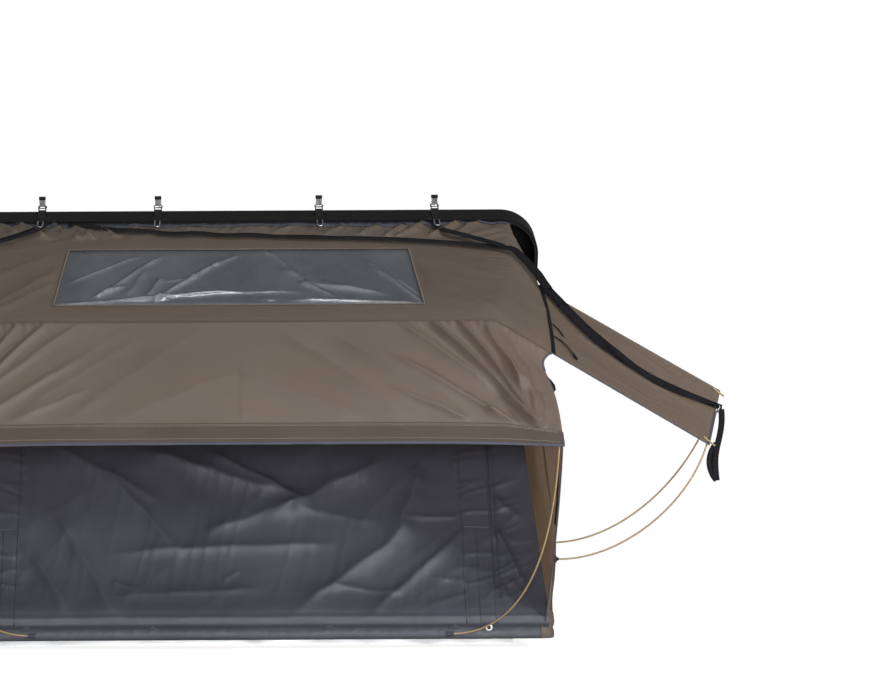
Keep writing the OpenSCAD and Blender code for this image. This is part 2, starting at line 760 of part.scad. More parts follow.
// Point of an end wall: u runs from the front to the back, v from the base to the roof or the lid
wall_low_z = rail_top + soft_gap;
lid_near = opened([tube_x, hinge_y - 50, tube_z - soft_gap]);
lid_far = opened([tube_x, lid_in0 + tube_w + 4, tube_z - soft_gap]);
function wall_low(u) = [wall_x, lerp(wall_front + 3, base_back - 40, u), wall_low_z];
function wall_top(u) =
    u >= 0.5 ? lerp(lid_far, lid_near, u * 2 - 1)
    : let (y = lerp(wall_front + 3, lid_far[1], u * 2)) [lerp(wall_x, tube_x, u * 2), y, roof_end_z(y) - 8];
function wall_at(u, v) = lerp(wall_low(u), wall_top(u), v);

module end_wall() {
    nu = 10;
    nv = 6;
    color("#6c635b") sheet([for (i = [0:nu]) [for (j = [0:nv]) wall_at(i / nu, j / nv)]], [cloth_t, 0, 0]);
}

module end_wall_right() {
    end_wall();
}

module end_wall_left() {
    mirror([1, 0, 0]) end_wall();
}

// Triangular wing between the base corner and the end of the front awning
module wing() {
    foot = [wing_x, wall_front, rail_top + 6];
    wall_v = (wall_front - lid_edge_p[1]) / (break_y - lid_edge_p[1]);
    rows = 8;
    step = [cloth_t, 0, end_lift + pass_gap + soft_gap];
    under_awning = [for (j = [awning_rows:-1:0]) awning_at(wing_u, min(0.98, awning_v(j)))];
    under_roof = [for (k = [0.5, 1]) roof_at(wing_u, lerp(1, wall_v, k))];
    color("#6c635b") sheet([for (tip = concat(under_awning, under_roof)) [for (j = [0:rows])
        lerp(foot, tip - step, lerp(0.04, 1, j / rows))]], [cloth_t, 0, 0]);
}

module wing_right() {
    wing();
}

module wing_left() {
    mirror([1, 0, 0]) wing();
}

// Side awning, sewn to the end of the roof just above the break line
seam_v = side_len / (lid_edge_p[1] - break_y);
seam_near = roof_at(1, 1) + [soft_gap, 2, 0];
seam_far = roof_at(1, 1 - seam_v) + [soft_gap, 2, 0];
side_tip_near = seam_near + [side_near, 0, -side_near_drop];
side_tip_far = seam_far + [side_far, 0, -side_far_drop];

function side_at(u, v) =
    let (p = lerp(lerp(seam_near, seam_far, v), lerp(side_tip_near, side_tip_far, v), u))
    p - [0, 0, 22 * sin(180 * u) * sin(180 * v)];

// Columns and rows of a side awning's grid
side_cols = 12;
side_rows = 8;

module side_awning() {
    color("#7a7068") sheet([for (i = [0:side_cols]) [for (j = [0:side_rows])
        side_at(i / side_cols, j / side_rows)]], roof_down);
}

module side_awning_right() {
    side_awning();
}

module side_awning_left() {
    mirror([1, 0, 0]) side_awning();
}

// Feet of the side rods, cups on the end walls; each has its place on the wall and its reach
side_foot = [[0.02, 0.19], [0.185, 0.21]];
side_cup_l = [4.25 * rod_d, 8 * rod_d];

function side_seat(k) = wall_at(side_foot[k][0], side_foot[k][1]) + [cloth_t + soft_gap + pass_gap, 0, 0];

module side_rod_sockets() {
    bore = rod_d / 2 + cup_wall_gap;
    flange_h = 4;
    color("#2a2a2c") both_ends() for (k = [0, 1]) translate(side_seat(k)) difference() {
        union() {
            along_x(0, 0, 0, cup_r + 8, flange_h);
            along_x(0, 0, 0, cup_r, side_cup_l[k]);
        }
        along_x(side_cup_l[k] - 20, 0, 0, bore, 30);
    }
}

// Spring rods, from the awnings' corners to their feet
rod_under = cloth_t + 0.7 * rod_d + soft_gap;

module side_rods() {
    tips = [side_at(0.985, 0.03), side_at(0.985, 0.97)];
    rings = 16;
    color("#b08a5a") for (k = [0, 1]) {
        top = tips[k] - [0, 0, rod_under];
        end = side_seat(k) + [side_cup_l[k] - 18, 0, 0];
        out = top[0] - end[0];
        drop = top[2] - end[2];
        path = [top, top - [0.12 * out, 0, 0.54 * drop], end + [0.42 * out, 0, -0.02 * drop], end];
        rod([for (i = [0:rings]) bezier(path, i / rings)], rod_d / 2, [0, 1, 0]);
    }
}

module side_rods_right() {
    side_rods();
}

module side_rods_left() {
    mirror([1, 0, 0]) side_rods();
}

module front_rods() {
    top = awning_at(0.985, 0.985) - [0, 0, rod_under];
    end = [front_rod_x + 2, front_rod_y, front_rod_z];
    span = top - end;
    path = [top, top - [0.06 * span[0], 0.12 * span[1], 0.58 * span[2]], end + [0.72 * span[0], 0, 0], end];
    rings = 18;
    color("#b08a5a") both_ends() rod([for (i = [0:rings]) bezier(path, i / rings)], rod_d / 2, [0.3, 1, 0]);
}

// Webbing along a side awning, its ring and its hanging tail
function web_line(u) = 0.57 + 0.36 * pow(1 - u, 5) + 0.08 * pow(u, 4);
function web_on(u) = side_at(u, web_line(u)) + [0, 0, web_gap];
web_dir = unit(web_on(1) - web_on(0.9));
web_tip = web_on(1);
// The webbing narrows towards its ring
function web_wide(u) = lerp(web_w, tail_w, max(0, u - 0.7) / 0.3);
function web_edges(u) =
    let (half = web_wide(u) / norm(side_at(u, 1) - side_at(u, 0)) / 2)
    [for (s = [-half, half]) side_at(u, web_line(u) + s) + [0, 0, web_gap * (1 + pow(1 - u, 5))]];
web_past = 14;

module side_webbing() {
    on = [for (i = [0:side_cols]) web_edges(i / side_cols)];
    past = [for (p = web_edges(1)) p + web_dir * web_past];
    color("#26262c") sheet(concat(on, [past]), [0, 0, web_t]);
}

module side_webbing_right() {
    side_webbing();
}

module side_webbing_left() {
    mirror([1, 0, 0]) side_webbing();
}

ring_wire = 2;
ring_r = tail_w / 2 + ring_wire + pass_gap;
ring_p = web_tip + web_dir * web_past / 2 + [0, 0, web_t / 2];

// Ring that the webbing runs through
module tie_ring() {
    color("#c0c2c4") translate(ring_p) rotate([0, 90 - asin(web_dir[2]), 0])
        rotate_extrude() translate([ring_r, 0]) circle(ring_wire, $fn = 24);
}

module tie_ring_right() {
    tie_ring();
}

module tie_ring_left() {
    mirror([1, 0, 0]) tie_ring();
}

// Hanging tail of the webbing
tail_l = 235;

module tie_tail() {
    steps = 8;
    sway = 10;
    start = web_tip + web_dir * web_past + [web_t + soft_gap, 0, web_t];
    color("#26262c") sheet([for (i = [0:steps]) [for (s = [-1, 1])
        start + [sway * sin(50 * i), s * tail_w / 2, -tail_l * i / steps]]], [web_t, 0, 0]);
}

module tie_tail_right() {
    tie_tail();
}

module tie_tail_left() {
    mirror([1, 0, 0]) tie_tail();
}

base_rail_front();
base_rail_back();
base_rail_ends();
base_corners();
floor_panel();
mount_channels();
channel_screws();
hinge_leaves_base();
hinge_pins();
mattress();
skirt();
catch_plates();
front_rod_sockets();
side_rod_sockets();
strut_brackets();
front_wall();
end_wall_left();
end_wall_right();
lid_shell();
lid_tube_front();
lid_tube_ends();
lid_seal();
hinge_leaves_lid();
strut_studs();
latch_brackets();
strut_tube(-1);  // strut_tube_left
strut_tube(1);  // strut_tube_right
strut_rod(-1);  // strut_rod_left
strut_rod(1);  // strut_rod_right
latch_lever(latch_x[0]);  // latch_lever_1
latch_lever(latch_x[1]);  // latch_lever_2
latch_lever(latch_x[2]);  // latch_lever_3
latch_lever(latch_x[3]);  // latch_lever_4
latch_strap(latch_x[0]);  // latch_strap_1
latch_strap(latch_x[1]);  // latch_strap_2
latch_strap(latch_x[2]);  // latch_strap_3
latch_strap(latch_x[3]);  // latch_strap_4
latch_hook(latch_x[0]);  // latch_hook_1
latch_hook(latch_x[1]);  // latch_hook_2
latch_hook(latch_x[2]);  // latch_hook_3
latch_hook(latch_x[3]);  // latch_hook_4
canopy_roof();
skylight_film();
roof_webbing();
front_awning();
front_rods();
side_awning_left();
side_awning_right();
side_rods_left();
side_rods_right();
side_webbing_left();
side_webbing_right();
tie_ring_left();
tie_ring_right();
tie_tail_left();
tie_tail_right();
wing_left();
wing_right();
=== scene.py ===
import json
import math
import bpy
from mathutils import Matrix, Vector, noise


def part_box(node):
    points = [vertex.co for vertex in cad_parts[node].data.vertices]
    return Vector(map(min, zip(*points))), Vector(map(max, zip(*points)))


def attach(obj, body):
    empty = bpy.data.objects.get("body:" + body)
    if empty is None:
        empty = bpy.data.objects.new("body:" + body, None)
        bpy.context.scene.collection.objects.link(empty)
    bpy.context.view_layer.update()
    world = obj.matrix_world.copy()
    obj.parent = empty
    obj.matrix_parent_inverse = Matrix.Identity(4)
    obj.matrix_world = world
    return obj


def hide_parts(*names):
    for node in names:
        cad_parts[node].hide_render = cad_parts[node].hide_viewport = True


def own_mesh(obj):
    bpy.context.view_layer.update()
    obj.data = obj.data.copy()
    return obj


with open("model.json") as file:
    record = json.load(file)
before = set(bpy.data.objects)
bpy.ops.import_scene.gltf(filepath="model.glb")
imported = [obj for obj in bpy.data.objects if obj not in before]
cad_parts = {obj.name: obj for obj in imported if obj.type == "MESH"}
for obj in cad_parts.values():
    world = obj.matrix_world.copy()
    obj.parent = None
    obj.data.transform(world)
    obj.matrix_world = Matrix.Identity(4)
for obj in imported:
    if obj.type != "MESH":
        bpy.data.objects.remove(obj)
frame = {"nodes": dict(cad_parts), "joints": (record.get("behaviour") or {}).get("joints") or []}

scene = bpy.context.scene
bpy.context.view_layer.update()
nodeOf = frame["nodes"]
bothSides = (("left", -1), ("right", 1))


# small sums used all over
def lerp(a, b, t):
    return a + (b - a) * t


def ease(t):
    t = clamp(t)
    return t * t * (3 - 2 * t)


def clamp(*values):
    return max(0.0, min(1.0, *values))


def signOf(u):
    return 1 if u > 0 else -1


def hump(t, mid, width):
    return math.exp(-((t - mid) / width) ** 2)


def bezier(p, t):
    a, b, c, d = p
    return a * (1 - t) ** 3 + b * 3 * t * (1 - t) ** 2 + c * 3 * t * t * (1 - t) + d * t ** 3


def steps(a, b, n):
    return [lerp(a, b, i / n) for i in range(n + 1)]


def mirrored(p, side):
    return Vector((side * p.x, p.y, p.z))


# soft noise, a crease that runs along one direction, and a fold along a line
def soft(x, y, seed):
    return noise.noise(Vector((x, y, seed)))


def crease(x, y, angle, across, along, seed):
    c, s = math.cos(math.radians(angle)), math.sin(math.radians(angle))
    n = noise.noise(Vector(((x * c + y * s) / along, (y * c - x * s) / across, seed)))
    return (1 - min(1.0, abs(n) * 2.2)) ** 2


def foldAlong(x, y, line):
    x0, y0, x1, y1, wide, tall = line
    dx, dy = x1 - x0, y1 - y0
    span = math.hypot(dx, dy)
    t = ((x - x0) * dx + (y - y0) * dy) / (span * span)
    if t < -0.2 or t > 1.2:
        return 0.0
    across = ((x - x0) * dy - (y - y0) * dx) / span + 0.35 * wide * soft(t * 4, span * 9, 4.2)
    return tall * ease((t + 0.2) / 0.35) * ease((1.2 - t) / 0.35) * math.exp(-abs(across / wide) ** 1.2)


def foldsOf(x, y, lines, gain=1.0):
    return gain * sum(foldAlong(x, y, line) for line in lines)


def jointOf(name):
    return next(j for j in frame["joints"] if j["name"] == name)


# camera first: level with the lower part of the tent, straight on to the long side
cameraSet = {"at": (0.0, -10.48, 0.47), "lens": 125.1, "turn": 0.0, "roll": 0.3, "shift": (0.2257, 0.1749)}
cameraData = bpy.data.cameras.new("camera")
cameraData.lens = cameraSet["lens"]
cameraData.sensor_width = 36
cameraData.shift_x, cameraData.shift_y = cameraSet["shift"]
cameraData.clip_end = 200
camera = bpy.data.objects.new("camera", cameraData)
camera.location = cameraSet["at"]
camera.rotation_euler = (math.radians(90), math.radians(cameraSet["roll"]), math.radians(cameraSet["turn"]))
scene.collection.objects.link(camera)
scene.camera = camera
scene.view_settings.view_transform = "Standard"
print("camera set")


# node helpers for the materials; an input is linked to a socket or set to a value
def newMaterial(name):
    material = bpy.data.materials.new(name)
    material.use_nodes = True
    tree = material.node_tree
    return material, tree, tree.nodes["Principled BSDF"]


def feed(tree, node, inputs):
    for key, value in inputs.items():
        if isinstance(value, bpy.types.NodeSocket):
            tree.links.new(value, node.inputs[key])
        else:
            node.inputs[key].default_value = value


def addNode(tree, kind, inputs=None, **settings):
    node = tree.nodes.new(kind)
    for key, value in settings.items():
        setattr(node, key, value)
    feed(tree, node, inputs or {})
    return node


def mathOf(tree, kind, a, b):
    return addNode(tree, "ShaderNodeMath", {0: a, 1: b}, operation=kind).outputs[0]


def blend(tree, a, b, share):
    return mathOf(tree, "ADD", mathOf(tree, "MULTIPLY", a, share), mathOf(tree, "MULTIPLY", b, 1 - share))


def noiseOf(tree, coords, scale, detail, rough, stretch=(1, 1, 1)):
    place = addNode(tree, "ShaderNodeMapping", {"Vector": coords, "Scale": stretch}).outputs["Vector"]
    inputs = {"Vector": place, "Scale": scale, "Detail": detail, "Roughness": rough}
    return addNode(tree, "ShaderNodeTexNoise", inputs).outputs["Fac"]


def spread(tree, value, low, high):
    inputs = {"Value": value, "From Min": 0.3, "From Max": 0.7, "To Min": low, "To Max": high}
    return addNode(tree, "ShaderNodeMapRange", inputs).outputs["Result"]


def twoTone(tree, value, look, a, b):
    ramp = addNode(tree, "ShaderNodeValToRGB", {"Fac": value})
    for stop, at, tone in zip(ramp.color_ramp.elements, (a, b), ("dark", "light")):
        stop.position, stop.color = at, (*look[tone], 1)
    return ramp.outputs["Color"]


def bump(tree, height, strength, distance, under=None):
    inputs = {"Strength": strength, "Distance": distance, "Height": height}
    if under is not None:
        inputs["Normal"] = under
    return addNode(tree, "ShaderNodeBump", inputs).outputs["Normal"]


# woven cloth: the weave follows the cloth's own lengths, which its UV map holds in metres
def wovenCloth(name, look):
    material, tree, shader = newMaterial(name)
    coords = addNode(tree, "ShaderNodeTexCoord")
    place = coords.outputs["Object"]
    threads = {"Vector": coords.outputs["UV"], "Scale": look["threads"], "Distortion": 0.4}
    waves = [addNode(tree, "ShaderNodeTexWave", threads, bands_direction=way).outputs["Fac"]
             for way in ("X", "Y")]
    weave = mathOf(tree, "MULTIPLY", *waves)
    crumple = noiseOf(tree, place, look["crumpleScale"], 4.0, 0.55)
    worn = blend(tree, noiseOf(tree, place, look["cloudScale"], 3.0, 0.5), weave, 0.75)
    low = bump(tree, crumple, look["crumple"], 0.004)
    feed(tree, shader, {"Base Color": twoTone(tree, worn, look, 0.22, 0.72),
                        "Roughness": spread(tree, crumple, look["rough"] - 0.07, look["rough"] + 0.07),
                        "Normal": bump(tree, weave, look["weave"], 0.0006, low),
                        "Sheen Weight": look.get("sheen", 0.0), "Sheen Roughness": 0.5,
                        "Specular IOR Level": look["shine"]})
    if "through" in look:
        thin = addNode(tree, "ShaderNodeBsdfTranslucent", {"Color": (*look["glow"], 1)})
        shares = {0: look["through"], 1: shader.outputs[0], 2: thin.outputs[0]}
        mixed = addNode(tree, "ShaderNodeMixShader", shares)
        feed(tree, tree.nodes["Material Output"], {"Surface": mixed.outputs[0]})
    return material


taupeCloth = wovenCloth("taupeCloth", {
    "threads": 260, "crumpleScale": 22, "cloudScale": 2.2, "dark": (0.128, 0.099, 0.078),
    "light": (0.178, 0.14, 0.112), "rough": 0.45, "crumple": 0.16, "weave": 0.35, "shine": 0.4,
    "through": 0.09, "glow": (0.85, 0.56, 0.36)})
hemLook = {
    "threads": 260, "crumpleScale": 30, "cloudScale": 3, "dark": (0.115, 0.089, 0.070),
    "light": (0.16, 0.127, 0.102), "rough": 0.6, "crumple": 0.2, "weave": 0.45, "shine": 0.14}
hemCloth = wovenCloth("hemCloth", hemLook)
# a darker copy of the hem cloth: painted shade for the doubled hem, which lets no light through
shadedHemCloth = wovenCloth("shadedHemCloth", {
    **hemLook, "dark": (0.086, 0.067, 0.053), "light": (0.122, 0.097, 0.078)})
wallCloth = wovenCloth("wallCloth", {
    "threads": 240, "crumpleScale": 16, "cloudScale": 1.9, "dark": (0.049, 0.053, 0.069),
    "light": (0.083, 0.089, 0.113), "rough": 0.4, "crumple": 0.14, "weave": 0.3, "shine": 0.5})
bindingCloth = wovenCloth("bindingCloth", {
    "threads": 300, "crumpleScale": 60, "cloudScale": 8, "dark": (0.085, 0.088, 0.115),
    "light": (0.125, 0.129, 0.165), "rough": 0.6, "crumple": 0.3, "weave": 0.5, "shine": 0.15})
webbingCloth = wovenCloth("webbingCloth", {
    "threads": 340, "crumpleScale": 50, "cloudScale": 7, "dark": (0.01, 0.01, 0.013),
    "light": (0.024, 0.024, 0.029), "rough": 0.62, "crumple": 0.2, "weave": 0.8, "shine": 0.1})
mattressCloth = wovenCloth("mattressCloth", {
    "threads": 200, "crumpleScale": 30, "cloudScale": 4, "dark": (0.085, 0.09, 0.1),
    "light": (0.14, 0.145, 0.157), "rough": 0.8, "crumple": 0.3, "weave": 0.5, "sheen": 0.2, "shine": 0.2})
threadCloth = wovenCloth("threadCloth", {
    "threads": 500, "crumpleScale": 90, "cloudScale": 30, "dark": (0.2, 0.17, 0.14),
    "light": (0.29, 0.25, 0.215), "rough": 0.7, "crumple": 0.2, "weave": 0.3, "sheen": 0.05, "shine": 0.3})


# paint, plastic, rubber and metal: colour clouds, a fine grain and a roughness that varies
def hardFinish(name, look):
    material, tree, shader = newMaterial(name)
    place = addNode(tree, "ShaderNodeTexCoord").outputs["Object"]
    grain = noiseOf(tree, place, look["grainScale"], 4.0, 0.6, look.get("stretch", (1, 1, 1)))
    tone = blend(tree, noiseOf(tree, place, look["cloudScale"], 3.0, 0.5), grain, 0.6)
    feed(tree, shader, {"Base Color": twoTone(tree, tone, look, 0.3, 0.7),
                        "Roughness": spread(tree, tone, *look["rough"]),
                        "Normal": bump(tree, grain, look["grain"], 0.0006),
                        "Metallic": look.get("metal", 0.0), "Specular IOR Level": look.get("shine", 0.5),
                        "Coat Weight": look.get("coat", 0.0), "Coat Roughness": 0.18})
    return material


lidPaint = hardFinish("lidPaint", {
    "grainScale": 420, "cloudScale": 5, "dark": (0.004, 0.004, 0.0044), "light": (0.007, 0.007, 0.0078),
    "rough": (0.3, 0.4), "grain": 0.1, "shine": 0.1})
latchSteel = hardFinish("latchSteel", {
    "grainScale": 300, "stretch": (1, 0.08, 0.08), "cloudScale": 18, "dark": (0.5, 0.51, 0.52),
    "light": (0.72, 0.73, 0.74), "rough": (0.28, 0.46), "grain": 0.15, "metal": 1.0})
plainAluminium = hardFinish("plainAluminium", {
    "grainScale": 240, "stretch": (0.05, 1, 1), "cloudScale": 9, "dark": (0.48, 0.49, 0.5),
    "light": (0.66, 0.67, 0.68), "rough": (0.32, 0.5), "grain": 0.15, "metal": 1.0})
framePaint = hardFinish("framePaint", {
    "grainScale": 700, "cloudScale": 7, "dark": (0.03, 0.031, 0.034), "light": (0.055, 0.057, 0.062),
    "rough": (0.42, 0.58), "grain": 0.35, "metal": 0.2})
blackPlastic = hardFinish("blackPlastic", {
    "grainScale": 900, "cloudScale": 14, "dark": (0.012, 0.012, 0.013), "light": (0.024, 0.024, 0.026),
    "rough": (0.5, 0.66), "grain": 0.4, "shine": 0.12})
greyPlastic = hardFinish("greyPlastic", {
    "grainScale": 900, "cloudScale": 14, "dark": (0.05, 0.052, 0.063), "light": (0.075, 0.078, 0.093),
    "rough": (0.5, 0.66), "grain": 0.4, "shine": 0.2})
sealRubber = hardFinish("sealRubber", {
    "grainScale": 600, "cloudScale": 12, "dark": (0.009, 0.009, 0.010), "light": (0.02, 0.02, 0.022),
    "rough": (0.6, 0.78), "grain": 0.3, "shine": 0.1})
strutPaint = hardFinish("strutPaint", {
    "grainScale": 500, "cloudScale": 11, "dark": (0.012, 0.012, 0.013), "light": (0.024, 0.024, 0.026),
    "rough": (0.2, 0.3), "grain": 0.1, "coat": 0.4})
floorBoard = hardFinish("floorBoard", {
    "grainScale": 60, "stretch": (0.06, 1, 1), "cloudScale": 3, "dark": (0.22, 0.16, 0.1),
    "light": (0.4, 0.31, 0.21), "rough": (0.45, 0.6), "grain": 0.25})
rodFinish = hardFinish("rodFinish", {
    "grainScale": 260, "cloudScale": 5, "dark": (0.34, 0.23, 0.11), "light": (0.44, 0.32, 0.17),
    "rough": (0.28, 0.42), "grain": 0.15, "coat": 0.3})


# smoky see-through film with a soft haze
# an attribute holds painted light and shade: above 0 on a crease's lit side, where a painted highlight colour
# is mixed in, and below 0 on the other side, where a painted shade colour is mixed in
def filmFinish(name, look):
    material, tree, shader = newMaterial(name)
    place = addNode(tree, "ShaderNodeTexCoord").outputs["Object"]
    haze = noiseOf(tree, place, look["hazeScale"], 4.0, 0.6, (1, 0.5, 0.5))
    fine = noiseOf(tree, place, look["fineScale"], 3.0, 0.55)
    paintedLightShade = addNode(tree, "ShaderNodeAttribute", attribute_name="paintedLightShade").outputs["Fac"]
    ragged = spread(tree, noiseOf(tree, place, look["raggedScale"], 4.0, 0.7), 0.35, 1.25)
    ragged = mathOf(tree, "MULTIPLY", paintedLightShade, ragged)
    tone = twoTone(tree, haze, look, 0.35, 0.68)
    # mixes in the painted highlight colour, then the painted shade colour
    for way, colour in (look["paintedHighlight"], look["deep"]):
        share = mathOf(tree, "MAXIMUM", mathOf(tree, "MULTIPLY", ragged, way), 0.0)
        tones = {0: share, 6: tone, 7: (*colour, 1)}
        tone = addNode(tree, "ShaderNodeMix", tones, data_type="RGBA").outputs[2]
    feed(tree, shader, {"Base Color": tone, "Roughness": spread(tree, haze, *look["rough"]),
                        "Normal": bump(tree, fine, 0.25, 0.002), "Alpha": look["alpha"],
                        "Specular IOR Level": look["shine"]})
    return material


skylightFilm = filmFinish("skylightFilm", {
    "hazeScale": 4.5, "fineScale": 18, "raggedScale": 60, "dark": (0.088, 0.096, 0.111),
    "light": (0.142, 0.153, 0.172), "rough": (0.16, 0.26), "alpha": 0.94, "shine": 0.5,
    # painted highlight colour and painted shade colour for the creases
    "paintedHighlight": (0.5, (0.5, 0.51, 0.55)), "deep": (-0.6, (0.016, 0.018, 0.025))})
print("materials made")


# mesh helpers
def pieceFrom(name, points, faces, material, body, uvs=None):
    mesh = bpy.data.meshes.new(name)
    mesh.from_pydata([tuple(p) for p in points], [], faces)
    if uvs:
        layer = mesh.uv_layers.new(name="cloth")
        for loop in mesh.loops:
            layer.data[loop.index].uv = uvs[loop.vertex_index]
    mesh.shade_smooth()
    piece = bpy.data.objects.new(name, mesh)
    scene.collection.objects.link(piece)
    mesh.materials.append(material)
    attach(piece, body)
    return piece


# hides the nodes that a piece stands for
def madeOf(piece, slot, *nodes):
    if nodes:
        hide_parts(*nodes)
    return piece


# a cloth of rows and columns; inside(i, j) leaves a hole
def clothGrid(name, sList, tList, pointAt, material, body, inside=None):
    n = len(tList)
    points = [pointAt(s, t) for s in sList for t in tList]
    midRow, midCol = n // 2, len(sList) // 2
    across, down = [0.0], [0.0]
    for i in range(1, len(sList)):
        across.append(across[-1] + (points[i * n + midRow] - points[(i - 1) * n + midRow]).length)
    for j in range(1, n):
        down.append(down[-1] + (points[midCol * n + j] - points[midCol * n + j - 1]).length)
    uvs = [(across[i], down[j]) for i in range(len(sList)) for j in range(n)]
    faces = [(i * n + j, (i + 1) * n + j, (i + 1) * n + j + 1, i * n + j + 1)
             for i in range(len(sList) - 1) for j in range(n - 1) if not (inside and inside(i, j))]
    used = sorted({k for f in faces for k in f})
    at = {k: m for m, k in enumerate(used)}
    faces = [tuple(at[k] for k in f) for f in faces]
    return pieceFrom(name, [points[k] for k in used], faces, material, body, [uvs[k] for k in used])


# a round or flat run along points; wide may change along it, and up sets which way a flat one lies
def runAlong(name, points, wide, thick, material, body, sides=8, up=None):
    n = len(points)
    rings, uvs, faces, length = [], [], [], 0.0
    for i, p in enumerate(points):
        ahead = (points[min(i + 1, n - 1)] - points[max(i - 1, 0)]).normalized()
        top = up[i] if isinstance(up, list) else (up or Vector((0.013, 0.02, 1)))
        side = ahead.cross(top).normalized()
        top = side.cross(ahead).normalized()
        length += (p - points[i - 1]).length if i else 0.0
        width = wide[i] if isinstance(wide, list) else wide
        for k in range(sides):
            a = 2 * math.pi * (k + 0.5) / sides
            c, s = math.cos(a), math.sin(a)
            if sides == 4:
                c, s = math.copysign(1, c), math.copysign(1, s)
            rings.append(p + side * c * width / 2 + top * s * thick / 2)
            uvs.append((c * width / 2, length))
    for i in range(n - 1):
        for k in range(sides):
            faces.append((i * sides + k, i * sides + (k + 1) % sides, (i + 1) * sides + (k + 1) % sides,
                          (i + 1) * sides + k))
    faces.append(tuple(reversed(range(sides))))
    faces.append(tuple((n - 1) * sides + k for k in range(sides)))
    return pieceFrom(name, rings, faces, material, body, uvs)


# a turned piece: radius and height pairs round an axis
def turned(name, at, axis, profile, material, body, sides=24):
    axis = axis.normalized()
    side = axis.cross(Vector((0.3, 0.2, 0.9))).normalized()
    other = axis.cross(side)
    points = []
    for r, h in profile:
        for k in range(sides):
            a = 2 * math.pi * k / sides
            points.append(at + axis * h + (side * math.cos(a) + other * math.sin(a)) * r)
    n = len(profile)
    faces = [(i * sides + k, i * sides + (k + 1) % sides, ((i + 1) % n) * sides + (k + 1) % sides,
              ((i + 1) % n) * sides + k) for i in range(n) for k in range(sides)]
    return pieceFrom(name, points, faces, material, body)


# a block with rounded edges between two corners on the closed lid
def lidBlock(name, low, high, edge, material, body):
    points, faces = [], []
    for z, inset in ((low.z, edge), (low.z + edge, 0.0), (high.z - edge, 0.0), (high.z, edge)):
        x0, x1, y0, y1 = low.x + inset, high.x - inset, low.y + inset, high.y - inset
        r = edge * 0.8
        for x, y in ((x0 + r, y0), (x1 - r, y0), (x1, y0 + r), (x1, y1 - r),
                     (x1 - r, y1), (x0 + r, y1), (x0, y1 - r), (x0, y0 + r)):
            points.append(opened(x, y, z))
    for i in range(3):
        a, b = i * 8, (i + 1) * 8
        faces += [(a + k, a + (k + 1) % 8, b + (k + 1) % 8, b + k) for k in range(8)]
    faces += [tuple(reversed(range(8))), tuple(range(24, 32))]
    return pieceFrom(name, points, faces, material, body)


def joined(name, pieces, slot, *nodes):
    first = pieces[0]
    bpy.ops.object.select_all(action="DESELECT")
    for piece in pieces:
        piece.select_set(True)
    bpy.context.view_layer.objects.active = first
    bpy.ops.object.join()
    first.name = first.data.name = name
    return madeOf(first, slot, *nodes)


# short raised stitches along a line of points
def stitches(name, points, ups, body, look):
    lengths = [0.0]
    for a, b in zip(points, points[1:]):
        lengths.append(lengths[-1] + (b - a).length)
    total = lengths[-1]
    rings, faces, seg = [], [], 0
    for m in range(max(2, int(total / look["pitch"]))):
        ends = []
        for d in (m * look["pitch"], m * look["pitch"] + look["length"]):
            d = min(d, total - 1e-6)
            while seg < len(points) - 2 and lengths[seg + 1] < d:
                seg += 1
            f = (d - lengths[seg]) / max(1e-9, lengths[seg + 1] - lengths[seg])
            ends.append((points[seg].lerp(points[seg + 1], f), ups[seg]))
        (a, upA), (b, upB) = ends
        side = (b - a).normalized().cross(upA) * look["width"] / 2
        k = len(rings)
        rings += [a - side, a + side, b + side, b - side, a.lerp(b, 0.25) + upA * look["high"],
                  a.lerp(b, 0.75) + upB * look["high"]]
        faces += [(k, k + 4, k + 5, k + 3), (k + 1, k + 2, k + 5, k + 4), (k, k + 1, k + 4),
                  (k + 2, k + 3, k + 5)]
    return pieceFrom(name, rings, faces, threadCloth, body)


seamThread = {"pitch": 0.009, "length": 0.006, "width": 0.0022, "high": 0.0012}
boldThread = {"pitch": 0.011, "length": 0.008, "width": 0.004, "high": 0.0016}


# places on a cloth: straight runs between corners, and the cloth's own normal there
def placesOn(corners, n):
    result = []
    for (a, b), (c, d) in zip(corners, corners[1:]):
        result += [(lerp(a, c, k / n), lerp(b, d, k / n)) for k in range(n)]
    return result + [corners[-1]]


def normalAt(pointAt, s, t, out, d=0.004):
    a = pointAt(s + d, t) - pointAt(s - d, t)
    b = pointAt(s, t + d) - pointAt(s, t - d)
    n = a.cross(b).normalized()
    return n if n.dot(out) > 0 else -n


def lineOn(pointAt, places, out, lift):
    ups = [normalAt(pointAt, s, t, out) for s, t in places]
    return [pointAt(s, t) + n * lift for (s, t), n in zip(places, ups)], ups


def tapeOn(name, pointAt, places, out, wide, thick, lift, material, body, sides=4):
    points, ups = lineOn(pointAt, places, out, lift)
    return runAlong(name, points, wide, thick, material, body, sides, ups)


def stitchOn(name, pointAt, places, out, lift, body, look=seamThread):
    return stitches(name, *lineOn(pointAt, places, out, lift), body, look)


def withFinish(material, *names):
    for name in names:
        slots = nodeOf[name].data.materials
        slots.clear()
        slots.append(material)


# sizes that the frame gives
lidPivot = Vector(jointOf("lid_hinge")["pos_m"])
lidOpen = math.radians(jointOf("lid_hinge")["range_deg"][1])
roofTop = Vector(jointOf("canopy_fold")["pos_m"])
roofBreak = Vector(jointOf("awning_fold")["pos_m"])
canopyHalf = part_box("canopy_roof")[1].x
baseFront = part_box("base_rail_front")[0].y
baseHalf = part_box("base_rail_ends")[1].x
tubeHalf = (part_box("strut_studs")[1].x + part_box("lid_tube_ends")[1].x) / 2
roofSlope = (roofBreak - roofTop).normalized()
roofNormal = Vector((0, roofSlope.z, -roofSlope.y))
upwards = Vector((0, 0, 1))
baseTop = Vector((0, 0, 0.1215))  # walls fold down to here
sheetKeep, wallKeep, sideKeep = 0.03, 0.02, 0.2  # share of its thickness that a folded piece keeps
squashList = []


def foldsFlat(axis, anchor, keep, *pieces):
    squashList.extend((piece, axis, anchor, keep) for piece in pieces)


